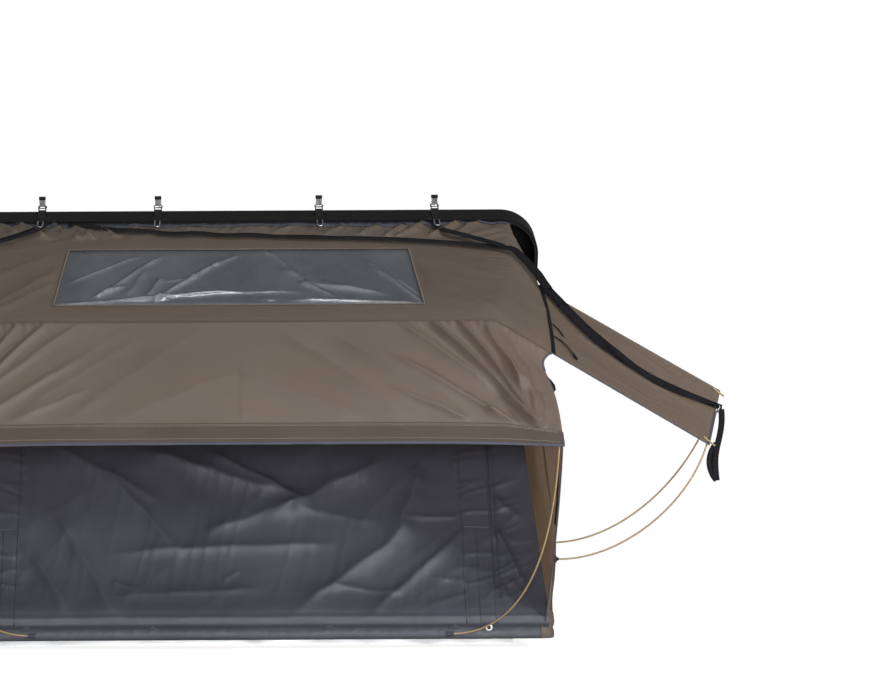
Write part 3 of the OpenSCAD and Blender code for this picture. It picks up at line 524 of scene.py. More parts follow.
# a point of the closed lid, moved to where the open lid has it
def opened(x, y, z):
    y, z = y - lidPivot.y, z - lidPivot.z
    c, s = math.cos(lidOpen), math.sin(lidOpen)
    return Vector((x, lidPivot.y + y * c + z * s, lidPivot.z - y * s + z * c))


print("frame read:", len(nodeOf), "nodes")

# hard nodes keep their shape and get their finish
withFinish(lidPaint, "lid_shell")
withFinish(framePaint, "base_rail_front", "base_rail_back", "base_rail_ends")
withFinish(blackPlastic, "base_corners", "latch_brackets")
withFinish(greyPlastic, "front_rod_sockets", "catch_plates")
withFinish(floorBoard, "floor_panel")
withFinish(plainAluminium, "mount_channels", "lid_tube_front", "lid_tube_ends")
withFinish(latchSteel, "channel_screws", "hinge_leaves_base", "hinge_leaves_lid", "hinge_pins",
           "strut_brackets", "strut_studs", "strut_rod_left", "strut_rod_right", "tie_ring_left",
           "tie_ring_right")
withFinish(sealRubber, "lid_seal")
withFinish(strutPaint, "strut_tube_left", "strut_tube_right")
for number in range(1, 5):
    withFinish(latchSteel, f"latch_lever_{number}", f"latch_hook_{number}")
    withFinish(sealRubber, f"latch_strap_{number}")
print("hard nodes finished")

# latch bodies on the rim and caps on the levers, drawn on the closed lid
latchSet = {"x": (-0.69, -0.283, 0.283, 0.69), "face": -0.73, "half": 0.0135, "deep": 0.008,
            "z": (0.221, 0.237), "lever": (-0.743, 0.250), "leverLong": 0.032, "cap": 0.004,
            "capHalf": 0.0118, "capRim": 0.0062, "edge": 0.0015}
for number, x in enumerate(latchSet["x"], 1):
    half, face, rim = latchSet["half"], latchSet["face"], latchSet["capRim"]
    low = Vector((x - half, face - latchSet["deep"], latchSet["z"][0]))
    high = Vector((x + half, face, latchSet["z"][1]))
    latchBody = lidBlock(f"latchBody_{number}", low, high, latchSet["edge"], blackPlastic, "lid")
    madeOf(latchBody, "black_plastic")
    y, z = latchSet["lever"]
    half, end = latchSet["capHalf"], y - latchSet["leverLong"]
    low = Vector((x - half, end - rim, z - rim))
    high = Vector((x + half, end + latchSet["cap"], z + rim))
    leverCap = lidBlock(f"leverCap_{number}", low, high, latchSet["edge"], blackPlastic, f"lever_{number}")
    madeOf(leverCap, "black_plastic")
print("latch trim made")

# roof of the canopy: x in metres and v along the slope, which is close to a metre long
roofSet = {"drop": 0.108, "facet": 0.18, "round": 0.07, "topIn": 0.057, "pull": 0.03, "gather": 0.007,
           "gathers": 10, "skyTop": 0.285, "skyLow": 0.85, "skyTopHalf": 0.58, "skyLowHalf": 0.602,
           "wrinkle": 0.0028, "cols": 260, "seam": 0.982, "underlap": 1.006}
skyMid = 0.62  # share of the columns that the skylight takes
roofFolds = [(0.668, 0.15, 0.769, 0.02, 0.013, 0.011), (0.767, 0.11, 0.846, 0.01, 0.012, 0.010),
             (0.508, 0.155, 0.572, 0.046, 0.012, 0.009), (0.545, 0.167, 0.625, 0.087, 0.011, 0.009),
             (0.774, 0.18, 0.907, 0.087, 0.012, 0.008), (0.837, 0.19, 0.916, 0.127, 0.010, 0.006),
             (0.42, 0.14, 0.49, 0.04, 0.012, 0.007), (0.59, 0.10, 0.65, 0.02, 0.010, 0.008),
             (0.30, 0.12, 0.37, 0.03, 0.014, 0.005), (0.12, 0.11, 0.2, 0.03, 0.014, 0.004),
             (0.603, 0.501, 0.827, 0.91, 0.03, 0.006), (0.623, 0.649, 0.8, 0.956, 0.03, 0.005),
             (0.64, 0.36, 0.84, 0.58, 0.035, 0.004)]
roofFolds = [(a, b, c, d, wide, tall * (1.8 if max(b, d) < 0.2 else 1.6))
             for a, b, c, d, wide, tall in roofFolds]
roofFolds += [(0.83, 0.25 + 0.035 * k, 0.905, 0.262 + 0.038 * k, 0.007, 0.0032) for k in range(11)]


# the end facet starts at the upper corner and widens towards the break
def endDrop(u, v):
    w = (abs(u) - 1) / roofSet["facet"] + v
    e = roofSet["round"]
    return roofSet["drop"] * (0.0 if w < -e else w if w > e else (w + e) ** 2 / (4 * e))


def roofHalf(v):
    pulled = roofSet["pull"] * math.sin(math.pi * clamp((v - 0.1) / 0.9))
    return lerp(canopyHalf - roofSet["topIn"], canopyHalf, v) + pulled


def roofPlain(u, v):
    gather = roofSet["gather"] * math.sin(roofSet["gathers"] * math.pi * u) * (1 - u ** 8) * v * 4
    z = lerp(roofTop.z, roofBreak.z, v) - endDrop(u, v) + gather * (1 - ease((v - 0.08) / 0.14))
    return Vector((roofHalf(v) * u, lerp(roofTop.y, roofBreak.y, v), z))


def skyShare(v):
    return (v - roofSet["skyTop"]) / (roofSet["skyLow"] - roofSet["skyTop"])


def skyU(v):
    return lerp(roofSet["skyTopHalf"], roofSet["skyLowHalf"], clamp(skyShare(v))) / roofHalf(v)


def roofSkin(u, v):
    x = abs(u) * roofHalf(v)
    side = signOf(u)
    w = roofSet["wrinkle"] * (crease(x, v, 28, 0.1, 0.8, 1.3 + side) * 0.6 + soft(x * 4, v * 5, 2.0 + side))
    w += roofSet["wrinkle"] * (1 - ease(v / 0.26)) * 1.5 * crease(u * 1.3, v, 118, 0.03, 0.22, 3.1)
    w += foldsOf(x, v, roofFolds)
    near = 1 - ease((abs(u) - skyU(v)) / 0.04)  # calm beside the skylight
    near *= ease((v - roofSet["skyTop"] + 0.06) / 0.05) * ease((roofSet["skyLow"] + 0.06 - v) / 0.05)
    return roofPlain(u, v) + roofNormal * w * (1 - 0.8 * near) * clamp(30 * v) * clamp(14 * (1 - v))


# the columns bend so that two of them follow the skylight's ends
def roofU(s, v):
    if abs(s) <= skyMid:
        return s / skyMid * skyU(v)
    return math.copysign(lerp(skyU(v), 1, (abs(s) - skyMid) / (1 - skyMid)), s)


def roofAt(s, v):
    return roofSkin(roofU(s, v), v)


endCols = roofSet["cols"] // 5
roofS = steps(-1, -skyMid, endCols)[:-1] + steps(-skyMid, skyMid, roofSet["cols"] - 2 * endCols) + \
    steps(skyMid, 1, endCols)[1:]
roofV = steps(0.0, roofSet["skyTop"], 46)[:-1] + steps(roofSet["skyTop"], roofSet["skyLow"], 60)[:-1] + \
    steps(roofSet["skyLow"], 1.0, 18) + [roofSet["underlap"]]


def inSkylight(i, j):
    s, v = (roofS[i] + roofS[i + 1]) / 2, (roofV[j] + roofV[j + 1]) / 2
    return abs(s) < skyMid and roofSet["skyTop"] < v < roofSet["skyLow"]


roof = clothGrid("roof", roofS, roofV, roofAt, taupeCloth, "canopy", inSkylight)
madeOf(roof, "taupe_fabric", "canopy_roof")

# skylight film: long slanting creases, and a hump above its lower edge
filmSet = {"cols": 300, "rows": 130, "sag": 0.003, "fullCrest": 0.011, "lit": -0.008, "shaded": 0.012}
filmFolds = [(-0.553, 0.605, -0.35, 0.355, 0.010, 0.006), (-0.447, 0.733, -0.271, 0.368, 0.012, 0.009),
             (-0.363, 0.733, -0.311, 0.501, 0.022, 0.007), (-0.262, 0.77, -0.081, 0.448, 0.010, 0.012),
             (-0.296, 0.745, -0.258, 0.579, 0.015, 0.010), (-0.081, 0.448, -0.003, 0.341, 0.012, 0.007),
             (0.084, 0.273, 0.233, 0.644, 0.011, 0.012), (0.233, 0.644, 0.457, 0.733, 0.022, 0.010),
             (0.435, 0.422, 0.582, 0.733, 0.010, 0.011), (0.458, 0.501, 0.594, 0.82, 0.009, 0.010),
             (-0.592, 0.832, -0.07, 0.733, 0.014, 0.010), (-0.187, 0.733, 0.181, 0.72, 0.014, 0.008),
             (0.18, 0.795, 0.577, 0.832, 0.011, 0.011), (-0.24, 0.605, -0.139, 0.566, 0.010, 0.005),
             (-0.471, 0.758, -0.382, 0.657, 0.010, 0.008), (0.208, 0.631, 0.305, 0.758, 0.010, 0.008),
             (0.142, 0.501, 0.374, 0.695, 0.03, 0.006), (-0.5, 0.8, -0.2, 0.8, 0.01, -0.006),
             (-0.02, 0.79, 0.2, 0.8, 0.012, -0.007)]
filmFolds = [(a, b, c, d, 0.95 * wide, 1.1 * tall) for a, b, c, d, wide, tall in filmFolds]


def filmAt(s, v):
    p = roofPlain(roofU(s, v), v)
    t = skyShare(v)
    hold = clamp(7 * t, 9 * (1 - t), 12 * (1 - abs(s) / skyMid))
    w = foldsOf(p.x, v, filmFolds) - filmSet["sag"]
    w += 0.0012 * soft(p.x * 6, v * 6, 3.3)
    w += 0.0022 * crease(p.x, v, 4, 0.016, 0.12, 9.9) * hump(v, 0.8, 0.05)
    return p + roofNormal * (hold * w - 0.0012)


filmS = steps(-skyMid, skyMid, filmSet["cols"])
filmV = steps(roofSet["skyTop"], roofSet["skyLow"], filmSet["rows"])
film = clothGrid("film", filmS, filmV, filmAt, skylightFilm, "canopy")
# painted light and shade on the film: a crease is lighter on its lit side and darker on its shaded side, with
# a painted shadow along the top edge and a painted highlight on the ripples above the lower edge
paintedLightShadeOf = film.data.attributes.new("paintedLightShade", "FLOAT", "POINT")
risen = [line for line in filmFolds if line[5] > 0]
for i, s in enumerate(filmS):
    for j, v in enumerate(filmV):
        x = roofPlain(roofU(s, v), v).x
        paintedHighlight, deep = (clamp(foldsOf(x, v + filmSet[way], risen) / filmSet["fullCrest"])
                      for way in ("lit", "shaded"))
        # painted shadow along the top edge, painted highlight on the ripples above the lower edge
        edge = 0.5 * hump(v, 0.828, 0.012) - 0.5 * hump(v, 0.3, 0.02)
        paintedLightShadeOf.data[i * len(filmV) + j].value = paintedHighlight ** 1.5 - deep ** 1.5 + edge
madeOf(film, "window_film", "skylight_film")

# border tape round the skylight and its bold stitching, the panel seams, and the seam at the break
trimSet = {"tape": (0.009, 0.0012, 0.0015),  # width, thickness and lift
           "boldLift": 0.0024, "seamLift": 0.001, "end": 0.995}
roofTrim = []
corners = [(-skyMid, roofSet["skyTop"]), (skyMid, roofSet["skyTop"]), (skyMid, roofSet["skyLow"]),
           (-skyMid, roofSet["skyLow"]), (-skyMid, roofSet["skyTop"])]
for k in range(4):
    places = placesOn(corners[k:k + 2], 110)
    roofTrim.append(tapeOn("skyTape", roofAt, places, roofNormal, *trimSet["tape"], hemCloth, "canopy"))
    roofTrim.append(stitchOn("skyStitch", roofAt, places, roofNormal, trimSet["boldLift"], "canopy",
                             boldThread))
seamLines = [placesOn([(side * trimSet["end"], roofSet["seam"]) for side in (-1, 1)], 300)]
for side in (-1, 1):
    line = [(side * x / roofHalf(0.9), v) for x, v in ((0.615, 0.88), (0.635, 0.93), (0.628, 0.985))]
    seamLines.append(placesOn(line, 12))
roofTrim += [stitchOn("seamStitch", roofSkin, places, roofNormal, trimSet["seamLift"], "canopy")
             for places in seamLines]
roofTrim = joined("roofTrim", roofTrim, "taupe_fabric")


# painted shadow under the lid's rim: a dark band of wall cloth where the lining lies in the lid's shade, and
# the blue-grey lining beside it
bandSet = {"half": 0.78, "low": 0.05, "lining": (0.74, 0.995), "liningLow": 0.032}


def paintedShadowBandAt(u, t):
    low = bandSet["low"] + 0.012 * soft(u * 5, 0.0, 6.6) - 0.03 * ease((abs(u) - 0.72) / 0.1)
    return roofSkin(u, lerp(0.0, low, t)) + roofNormal * (0.002 + 0.004 * math.sin(math.pi * t))


def liningAt(u, t):
    return roofSkin(u, bandSet["liningLow"] * t) + roofNormal * (0.003 + 0.003 * math.sin(math.pi * t))


bandU, bandT = steps(-bandSet["half"], bandSet["half"], 160), steps(0, 1, 6)
# dark wall cloth laid on as painted shadow of the lid
paintedShadowBand = madeOf(clothGrid("paintedShadowBand", bandU, bandT, paintedShadowBandAt, wallCloth, "canopy"), "wall_fabric")
lining = []
for side in (-1, 1):
    liningU = steps(*(side * u for u in bandSet["lining"]), 40)
    lining.append(clothGrid("liningEnd", liningU, bandT, liningAt, bindingCloth, "canopy"))
lining = joined("lining", lining, "wall_fabric")
foldsFlat(roofNormal, roofTop, sheetKeep, roof, film, roofTrim, paintedShadowBand, lining)
print("roof and skylight made")

# front awning: bows out a little, and folds fan from the break line towards its lower corners
awningSet = {"half": 1.017, "edge": (-0.96, 0.656), "long": 0.45, "bow": 0.026, "endDrop": 0.012,
             "notch": 0.034, "notchV": 0.13, "hem": 0.85, "gain": {1: 2.8, -1: 1.3}, "cols": 300,
             "rows": 90, "stitches": (0.862, 0.872, 0.965), "stitchLift": 0.0006,
             "tab": (0.016, 0.003, -0.003)}
awningFolds = [(0.618, 0.012, 0.921, 0.372, 0.010, 0.012), (0.716, 0.025, 0.929, 0.372, 0.009, 0.011),
               (0.789, 0.03, 0.888, 0.22, 0.014, 0.009),
               (0.533, 0.033, 0.774, 0.246, 0.016, 0.007), (0.508, 0.161, 0.827, 0.375, 0.016, 0.008),
               (0.505, 0.279, 0.705, 0.371, 0.014, 0.006), (0.906, 0.127, 0.936, 0.372, 0.014, 0.009),
               (0.945, 0.24, 0.95, 0.372, 0.009, 0.008), (0.782, 0.337, 0.863, 0.379, 0.008, 0.006),
               (0.833, 0.037, 0.903, 0.304, 0.012, 0.008), (0.862, 0.05, 0.902, 0.22, 0.010, 0.007),
               (0.35, 0.1, 0.66, 0.33, 0.025, 0.005), (0.15, 0.06, 0.5, 0.34, 0.03, 0.004),
               (0.0, 0.2, 0.35, 0.36, 0.03, 0.003), (0.84, 0.3, 0.93, 0.375, 0.008, 0.006)]
awningOut = Vector((0, -0.893, 0.451))


def notchAt(v):
    return awningSet["notch"] * v / awningSet["notchV"] * math.exp(1 - v / awningSet["notchV"])


def awningPlain(u, v):
    bow = awningSet["bow"] * math.sin(math.pi * v) * (1 - u ** 6)
    edgeZ = awningSet["edge"][1] - awningSet["endDrop"] * abs(u) ** 5
    half = lerp(canopyHalf, awningSet["half"], v) - notchAt(v)
    return Vector((half * u, lerp(roofBreak.y, awningSet["edge"][0], v) - bow,
                   lerp(roofBreak.z - endDrop(u, 1), edgeZ, v) + bow / 2))


def awningAt(u, v):
    p = awningPlain(u, v)
    x, h = abs(p.x), v * awningSet["long"]
    side, hem = signOf(u), awningSet["hem"]
    w = foldsOf(x, h, awningFolds, awningSet["gain"][side]) * clamp(40 * v, (hem + 0.01 - v) * 20)
    wavy = soft(x * 3.5, h * 4, 8.0 + side) + 0.6 * crease(x, h, 34, 0.08, 0.6, 4.0 + side) * ease(x / 0.5)
    w += 0.003 * clamp(10 * v, (hem - v) * 14) * wavy
    pucker = math.sin(2 * math.pi * (x / 0.026 + soft(x * 9, 0.3, 2.0))) * math.exp(-v / 0.06)
    w += 0.004 * pucker * clamp(60 * v) * ease((x - 0.45) / 0.25)
    w += 0.0013 * ease((v - hem) / 0.006)
    w += 0.0015 * soft(x * 20, h * 12, 5.0 + side) * ease((v - 0.93) / 0.03)
    return p + awningOut * w


awningV = steps(0.002, awningSet["hem"], awningSet["rows"]) + steps(awningSet["hem"] + 0.006, 1.0, 16)
awning = clothGrid("frontAwning", steps(-1, 1, awningSet["cols"]), awningV, awningAt, taupeCloth, "awning")
# the hem has no translucency, and its darker colour is painted shade for the light that the doubled hem does
# not let through
awning.data.materials.append(shadedHemCloth)  # doubled hem lets no light through
for face in awning.data.polygons:
    face.material_index = int(awningV[min(k % len(awningV) for k in face.vertices)] >= awningSet["hem"])
madeOf(awning, "taupe_fabric", "front_awning")
edgeRuns = [(placesOn([(-1, 0.998), (1, 0.998)], 240), 0.011, 0.005)]  # places, width and thickness
for side in (-1, 1):
    edgeRuns.append(([(side * 0.9985, v) for v in steps(0.004, 0.2, 16)], 0.008, 0.004))
    edgeRuns.append(([(side * 0.999, v) for v in steps(0.86, 1.0, 10)], 0.007, 0.004))
edgeTape = [tapeOn("edgeRun", awningAt, places, awningOut, wide, thick, 0.0, bindingCloth, "awning", 8)
            for places, wide, thick in edgeRuns]
edgeTape = joined("awningBinding", edgeTape, "wall_fabric")
hemStitch = []
for v in awningSet["stitches"]:
    places = placesOn([(side * trimSet["end"], v) for side in (-1, 1)], 260)
    hemStitch.append(stitchOn("hemStitch", awningAt, places, awningOut, awningSet["stitchLift"], "awning"))
hemStitch = joined("hemStitch", hemStitch, "taupe_fabric")
tabLine = ((0.992, 0.0), (1.002, 0.2), (1.007, 0.45), (1.004, 0.7), (0.992, 1.0))
cornerTabs = []
for side in (-1, 1):
    places = [(side * s, 0.27 + 0.16 * t) for s, t in tabLine]
    cornerTabs.append(tapeOn("cornerTab", awningAt, places, awningOut, *awningSet["tab"], webbingCloth,
                             "awning"))
cornerTabs = joined("cornerTabs", cornerTabs, "webbing")
foldsFlat(awningOut, roofBreak, sheetKeep, awning, edgeTape, hemStitch, cornerTabs)
print("front awning made")

# shape of the end walls, which the wings meet
endSet = {"x": 0.996, "front": -0.709, "back": 0.67, "z": 0.1204, "cols": 80, "rows": 80, "wrinkle": 0.006,
          "flare": 0.006, "topIn": 0.034, "under": 0.99607, "below": 0.008, "swell": 0.027}
lidNear = opened(tubeHalf, lidPivot.y - 0.05, 0.1496)
lidFar = opened(tubeHalf, -0.697, 0.1496)


def roofEndZ(y):
    t = (y - roofTop.y) / (roofBreak.y - roofTop.y)
    return roofPlain(endSet["under"], t).z - 0.0029


def endWallPlain(u, v):
    low = Vector((endSet["x"], lerp(endSet["front"], endSet["back"], u), endSet["z"]))
    if u >= 0.5:
        top = lidFar.lerp(lidNear, u * 2 - 1)
    else:
        y = lerp(endSet["front"], lidFar.y, u * 2)
        top = Vector((lerp(endSet["x"] - endSet["topIn"], tubeHalf, u * 2), y, roofEndZ(y) - endSet["below"]))
    p = low.lerp(top, v)
    p.x += endSet["swell"] * hump(p.z, 0.36, 0.2) * ease(v / 0.12) * (1 - 0.6 * ease(u / 0.5))
    return p


# wings from the awning's corners round to the ends of the base; i runs from the front edge back, j runs up
wingSet = {"foot": [(0.977, -0.7155, 0.07), (0.9905, -0.7125, 0.085), (1.0005, -0.704, 0.1),
                    (1.0035, -0.684, 0.112)],
           "u": 0.99607, "under": 0.0036, "turn": 0.62, "notchV": 0.14, "rear": -0.684, "bulge": 0.013,
           "wrinkle": 0.004, "cols": 44, "rows": 60, "strip": 0.12, "stripSize": (0.02, 0.0025),
           "binding": (0.009, 0.005), "lean": 0.05, "foldZ": 0.13}


# along the awning's end as far as its notch, then back under the roof
def wingTip(i):
    turn, notchV = wingSet["turn"], wingSet["notchV"]
    if i < turn:
        return awningPlain(wingSet["u"], lerp(0.985, notchV, max(i, 0.0) / turn)) - upwards * wingSet["under"]
    start = awningPlain(wingSet["u"], notchV) - upwards * wingSet["under"]
    t = (i - turn) / (1 - turn)
    return Vector((start.x, lerp(start.y, wingSet["rear"], min(1.0, t)),
                   lerp(start.z, roofEndZ(wingSet["rear"]) - 0.01, ease(t))))


def endWallX(y, z):
    u = (y - endSet["front"]) / (endSet["back"] - endSet["front"])
    v = (z - endSet["z"]) / (roofEndZ(y) - endSet["below"] - endSet["z"])
    return endWallPlain(max(u, 0.0), clamp(v)).x


def wingPlain(i, j):
    p = bezier([Vector(p) for p in wingSet["foot"]], i).lerp(wingTip(i), j)
    full = 0.35 + 0.65 * math.sin(math.pi * min(1.0, i + 0.12))
    p.x += wingSet["bulge"] * math.sin(math.pi * clamp(j)) ** 0.8 * full
    p.x = lerp(p.x, endWallX(p.y, p.z) - 0.0005, ease((i - 0.45) / 0.55))
    return p


def wingAt(i, j, side):
    p = wingPlain(i, j)
    w = 0.6 * soft(p.y * 6, p.z * 4, 3.0 + side) + crease(p.y, p.z, 78, 0.05, 0.5, 2.0 + side) - 0.4
    w *= wingSet["wrinkle"] * clamp(6 * j, 6 * (1 - j), 8 * i + 0.1, 8 * (1 - i) + 0.1)
    return mirrored(p + Vector((-0.0012 + 0.6 * w, 0, 0)), side)


wings, wingTrim = {}, {}
for sideName, side in bothSides:
    body, out = f"wing_{sideName}", Vector((side, 0, 0))
    wing = clothGrid(f"wing_{sideName}_cloth", steps(0, 1, wingSet["cols"]), steps(0, 1, wingSet["rows"]),
                     lambda i, j: wingAt(i, j, side), taupeCloth, body)
    madeOf(wing, "taupe_fabric", f"wing_{sideName}")
    edge = [wingAt(0.0, j, side) for j in steps(0.0, 1.0, 60)]
    trim = runAlong(f"wingBinding_{sideName}", edge, *wingSet["binding"], bindingCloth, body, 8, out)
    strip = [wingAt(wingSet["strip"], j, side) - out * 0.004 for j in steps(0.52, 0.985, 24)]
    black = runAlong(f"wingStrip_{sideName}", strip, *wingSet["stripSize"], webbingCloth, body, 4, out)
    madeOf(trim, "wall_fabric")
    madeOf(black, "webbing")
    wings[sideName], wingTrim[sideName] = wing, (trim, black)
    lean = Vector((side * wingSet["lean"], 0, 1)).normalized()  # fold axis listed for the wing; leaning in, it would bring the tip behind the lid's rim
    foldsFlat(lean, Vector((side, 0, wingSet["foldZ"])), wallKeep, wing, trim, black)
print("wings made")

# front wall: dark satin cloth in long slanting folds, with a flap over a zip near each end
# a fold is given by x and height in metres at both ends, then its width and depth
wallSet = {"low": (-0.702, 0.1204), "half": (0.99, 0.885), "set": 0.016, "gain": 1.35,
           "zip": (0.73, 0.776, 0.825), "zipTop": 0.389, "foot": (0.0105, 0.012, 0.011), "seamLow": 0.08,
           "seamTop": 1.2, "piping": 0.005, "zipPiping": 0.006, "cols": 320}
wallEdge = opened(0, -0.704, 0.1496)
wallFolds = [(-0.586, 0.417, -0.403, 0.117, 0.030, 0.016), (-0.44, 0.568, -0.221, 0.342, 0.024, 0.014),
             (-0.289, 0.639, 0.123, 0.511, 0.032, 0.018), (-0.079, 0.633, 0.193, 0.486, 0.020, 0.012),
             (-0.346, 0.318, 0.25, 0.335, 0.024, 0.013), (-0.097, 0.386, 0.197, 0.473, 0.030, 0.013),
             (-0.379, 0.171, 0.028, 0.195, 0.020, 0.009), (-0.656, 0.293, -0.569, 0.127, 0.018, 0.008),
             (-0.412, 0.219, -0.331, 0.195, 0.010, 0.005), (-0.052, 0.226, -0.009, 0.256, 0.009, 0.004),
             (0.131, 0.442, 0.437, 0.6, 0.036, 0.017), (0.209, 0.137, 0.519, 0.373, 0.034, 0.018),
             (0.519, 0.373, 0.589, 0.568, 0.040, 0.016), (0.435, 0.121, 0.719, 0.373, 0.022, 0.014),
             (0.552, 0.423, 0.715, 0.429, 0.008, 0.005), (0.132, 0.467, 0.432, 0.411, 0.016, 0.005),
             (0.309, 0.201, 0.512, 0.177, 0.010, 0.006), (0.609, 0.139, 0.722, 0.171, 0.010, 0.007),
             (0.626, 0.232, 0.724, 0.219, 0.009, 0.005), (0.836, 0.38, 0.932, 0.177, 0.014, 0.014),
             (0.873, 0.219, 0.946, 0.13, 0.010, 0.010), (0.835, 0.486, 0.91, 0.429, 0.014, 0.008),
             (-0.932, 0.2, -0.836, 0.4, 0.014, 0.012), (-0.946, 0.13, -0.86, 0.24, 0.010, 0.009),
             (0.845, 0.195, 0.868, 0.13, 0.010, 0.007), (-0.72, 0.36, -0.56, 0.14, 0.02, 0.009),
             (-0.3, 0.5, -0.62, 0.66, 0.03, 0.012), (0.3, 0.7, -0.2, 0.95, 0.04, 0.012),
             (-0.5, 0.8, 0.2, 1.1, 0.05, 0.012), (0.6, 0.7, 0.2, 1.2, 0.05, 0.012),
             (-0.7, 0.75, -0.4, 1.2, 0.05, 0.010)]


# share of the way up, and the half width there
def wallShare(z):
    return (z - wallSet["low"][1]) / (wallEdge.z - wallSet["low"][1])


def wallHalf(v):
    return lerp(wallSet["half"][0], wallSet["half"][1], max(v, 0.0))


# it runs down over the rail, and its foot is tucked in
def wallPlain(x, z):
    lean, over, tuck = wallSet["foot"]
    out = lean * (1 - ease((z - 0.118) / 0.06)) + over * ease((0.12 - z) / 0.02)
    out -= tuck * ease((0.079 - z) / 0.011)
    return Vector((x, lerp(wallSet["low"][0], wallEdge.y, max(wallShare(z), 0.0)) - out, z))


wallIn = Vector((0, wallEdge.z - wallSet["low"][1], -(wallEdge.y - wallSet["low"][0]))).normalized()


def frontWallAt(u, v):
    z = lerp(wallSet["low"][1], wallEdge.z, v)
    x = wallHalf(v) * (2 * u - 1)
    p = wallPlain(x, z)
    a = abs(x)
    flapIn, zipMid, flapOut = wallSet["zip"]
    w = foldsOf(x, z, wallFolds, wallSet["gain"]) + 0.004 * soft(x * 2.2, z * 2.5, 5.0)
    w += 0.003 * crease(x, z, 40, 0.12, 0.8, 3.3)
    w += 0.002 * crease(x, z, 76, 0.05, 0.5, 7.1) + 0.0012 * soft(x * 14, z * 9, 1.1)
    flap = ease((a - flapIn) / 0.006) * (1 - ease((a - flapOut) / 0.006))
    w = w * (1 - 0.55 * flap) + 0.003 * flap
    w += 0.005 * crease(a, z, 12, 0.03, 0.16, 4.4) * ease((a - 0.7) / 0.03)
    w -= 0.010 * hump(a, flapOut + 0.006, 0.008) * ease(z / 0.3)
    w -= 0.002 * hump(a, flapIn, 0.003)
    if z < wallSet["zipTop"]:
        w -= 0.002 * hump(a, zipMid, 0.003)
    w -= 0.002 * hump(z, wallSet["zipTop"], 0.004) * flap
    w += 0.003 * hump(a, 0.93 - 0.02 * (z - 0.4), 0.012) * ease((z - 0.25) / 0.1)
    w *= (0.3 + 0.7 * ease((z - 0.1) / 0.1)) * ease((z - 0.066) / 0.012)
    hold = clamp(5 * (1 - v), 20 * u, 20 * (1 - u))
    return p + wallIn * (wallSet["set"] * ease((z - 0.12) / 0.12) - w) * hold


wallV = steps(-0.041, 0.03, 18)[:-1] + steps(0.03, 0.46, 104)[:-1] + steps(0.46, 1, 30)
frontWall = clothGrid("frontWall", steps(0, 1, wallSet["cols"]), wallV, frontWallAt, wallCloth, "base")
madeOf(frontWall, "wall_fabric", "front_wall")


# piping along the flap's edges and round its zip
def wallSpot(x, z):
    v = wallShare(z)
    return (x / wallHalf(v) + 1) / 2, v


def wallTape(places, wide):
    return tapeOn("wallSeam", frontWallAt, places, -wallIn, wide, 0.002, 0.0006, wallCloth, "base", 6)


wallSeams = []
for side in (-1, 1):
    flapIn, zipMid, flapOut = wallSet["zip"]
    for x, top in ((flapIn - 0.004, wallSet["seamTop"]), (zipMid - 0.004, wallSet["zipTop"]),
                   (flapOut - 0.003, wallSet["seamTop"])):
        line = [wallSpot(side * x, z) for z in steps(wallSet["seamLow"], top, 120)]
        wallSeams.append(wallTape(line, wallSet["piping"]))
    across = steps(flapIn, flapOut - 0.004, 20)
    line = [wallSpot(side * x, wallSet["zipTop"] + wallSet["zipPiping"]) for x in across]
    wallSeams.append(wallTape(line, wallSet["zipPiping"]))
wallSeams = joined("wallSeams", wallSeams, "wall_fabric")
foldsFlat(upwards, baseTop, wallKeep, frontWall, wallSeams)
print("front wall made")


# end walls
def endWallAt(u, v, side):
    p = endWallPlain(u, v)
    w = crease(p.y, p.z, 60, 0.09, 0.7, 3.0 + side) + 0.8 * crease(p.y, p.z, -40, 0.1, 0.7, 6.0 + side)
    w += 0.6 * crease(p.y, p.z, 12, 0.07, 0.9, 9.0 + side)
    w *= endSet["wrinkle"] * clamp(10 * u, 10 * (1 - u), 10 * v, 10 * (1 - v))
    p.x += 0.0012 - w * 0.5 + endSet["flare"] * (1 - ease(v / 0.12))
    return mirrored(p, side)


for sideName, side in bothSides:
    piece = clothGrid(f"endWall_{sideName}", steps(0, 1, endSet["cols"]), steps(0, 1, endSet["rows"]),
                      lambda u, v: endWallAt(u, v, side), taupeCloth, "base")
    madeOf(piece, "taupe_fabric", f"end_wall_{sideName}")
    foldsFlat(upwards, baseTop, wallKeep, piece)
print("end walls made")

# skirt: dark along the front, taupe round the ends; a pair is the height and how far it stands off
skirtSet = {"profile": [(0.0305, 0.0008), (0.031, 0.004), (0.037, 0.0068), (0.047, 0.0074), (0.057, 0.0062),
                        (0.0625, 0.0036), (0.067, 0.0036), (0.073, 0.0062), (0.084, 0.0078), (0.097, 0.0066),
                        (0.110, 0.0036), (0.119, 0.0010), (0.1265, -0.0022)],
            "corner": 0.04, "back": 0.65, "meet": 0.968, "wallFoot": 0.064}
skirtFlat = baseHalf - skirtSet["corner"]
skirtTurn = skirtFlat + skirtSet["corner"] * math.pi / 2
skirtLong = skirtTurn + skirtSet["back"] - baseFront - skirtSet["corner"]


# the point and the way out at a distance d from the middle of the front
def baseOutline(d):
    corner = skirtSet["corner"]
    if d < skirtFlat:
        return Vector((d, baseFront, 0)), Vector((0, -1, 0))
    if d < skirtTurn:
        a = (d - skirtFlat) / corner
        out = Vector((math.sin(a), -math.cos(a), 0))
        return Vector((skirtFlat, baseFront + corner, 0)) + out * corner, out
    return Vector((baseHalf, baseFront + corner + d - skirtTurn, 0)), Vector((1, 0, 0))


def skirtAt(d, k, side, more):
    z, out = skirtSet["profile"][k]
    p, normal = baseOutline(d)
    ripple = 0.0016 * soft(d * 9 * side, z * 24, 3.0) + 0.0022 * crease(d * side, z, 62, 0.02, 0.09, 2.7)
    ripple *= 0.0 if k in (0, len(skirtSet["profile"]) - 1) else 1.0
    if not more and z > skirtSet["wallFoot"]:  # flat behind the wall's foot
        out, ripple = min(out, 0.0015), 0.0
    p = p + normal * (out + more + ripple)
    return Vector((side * p.x, p.y, z + 0.0025 * soft(d * 4 * side, 0.5, 7.0) * (k > 0)))


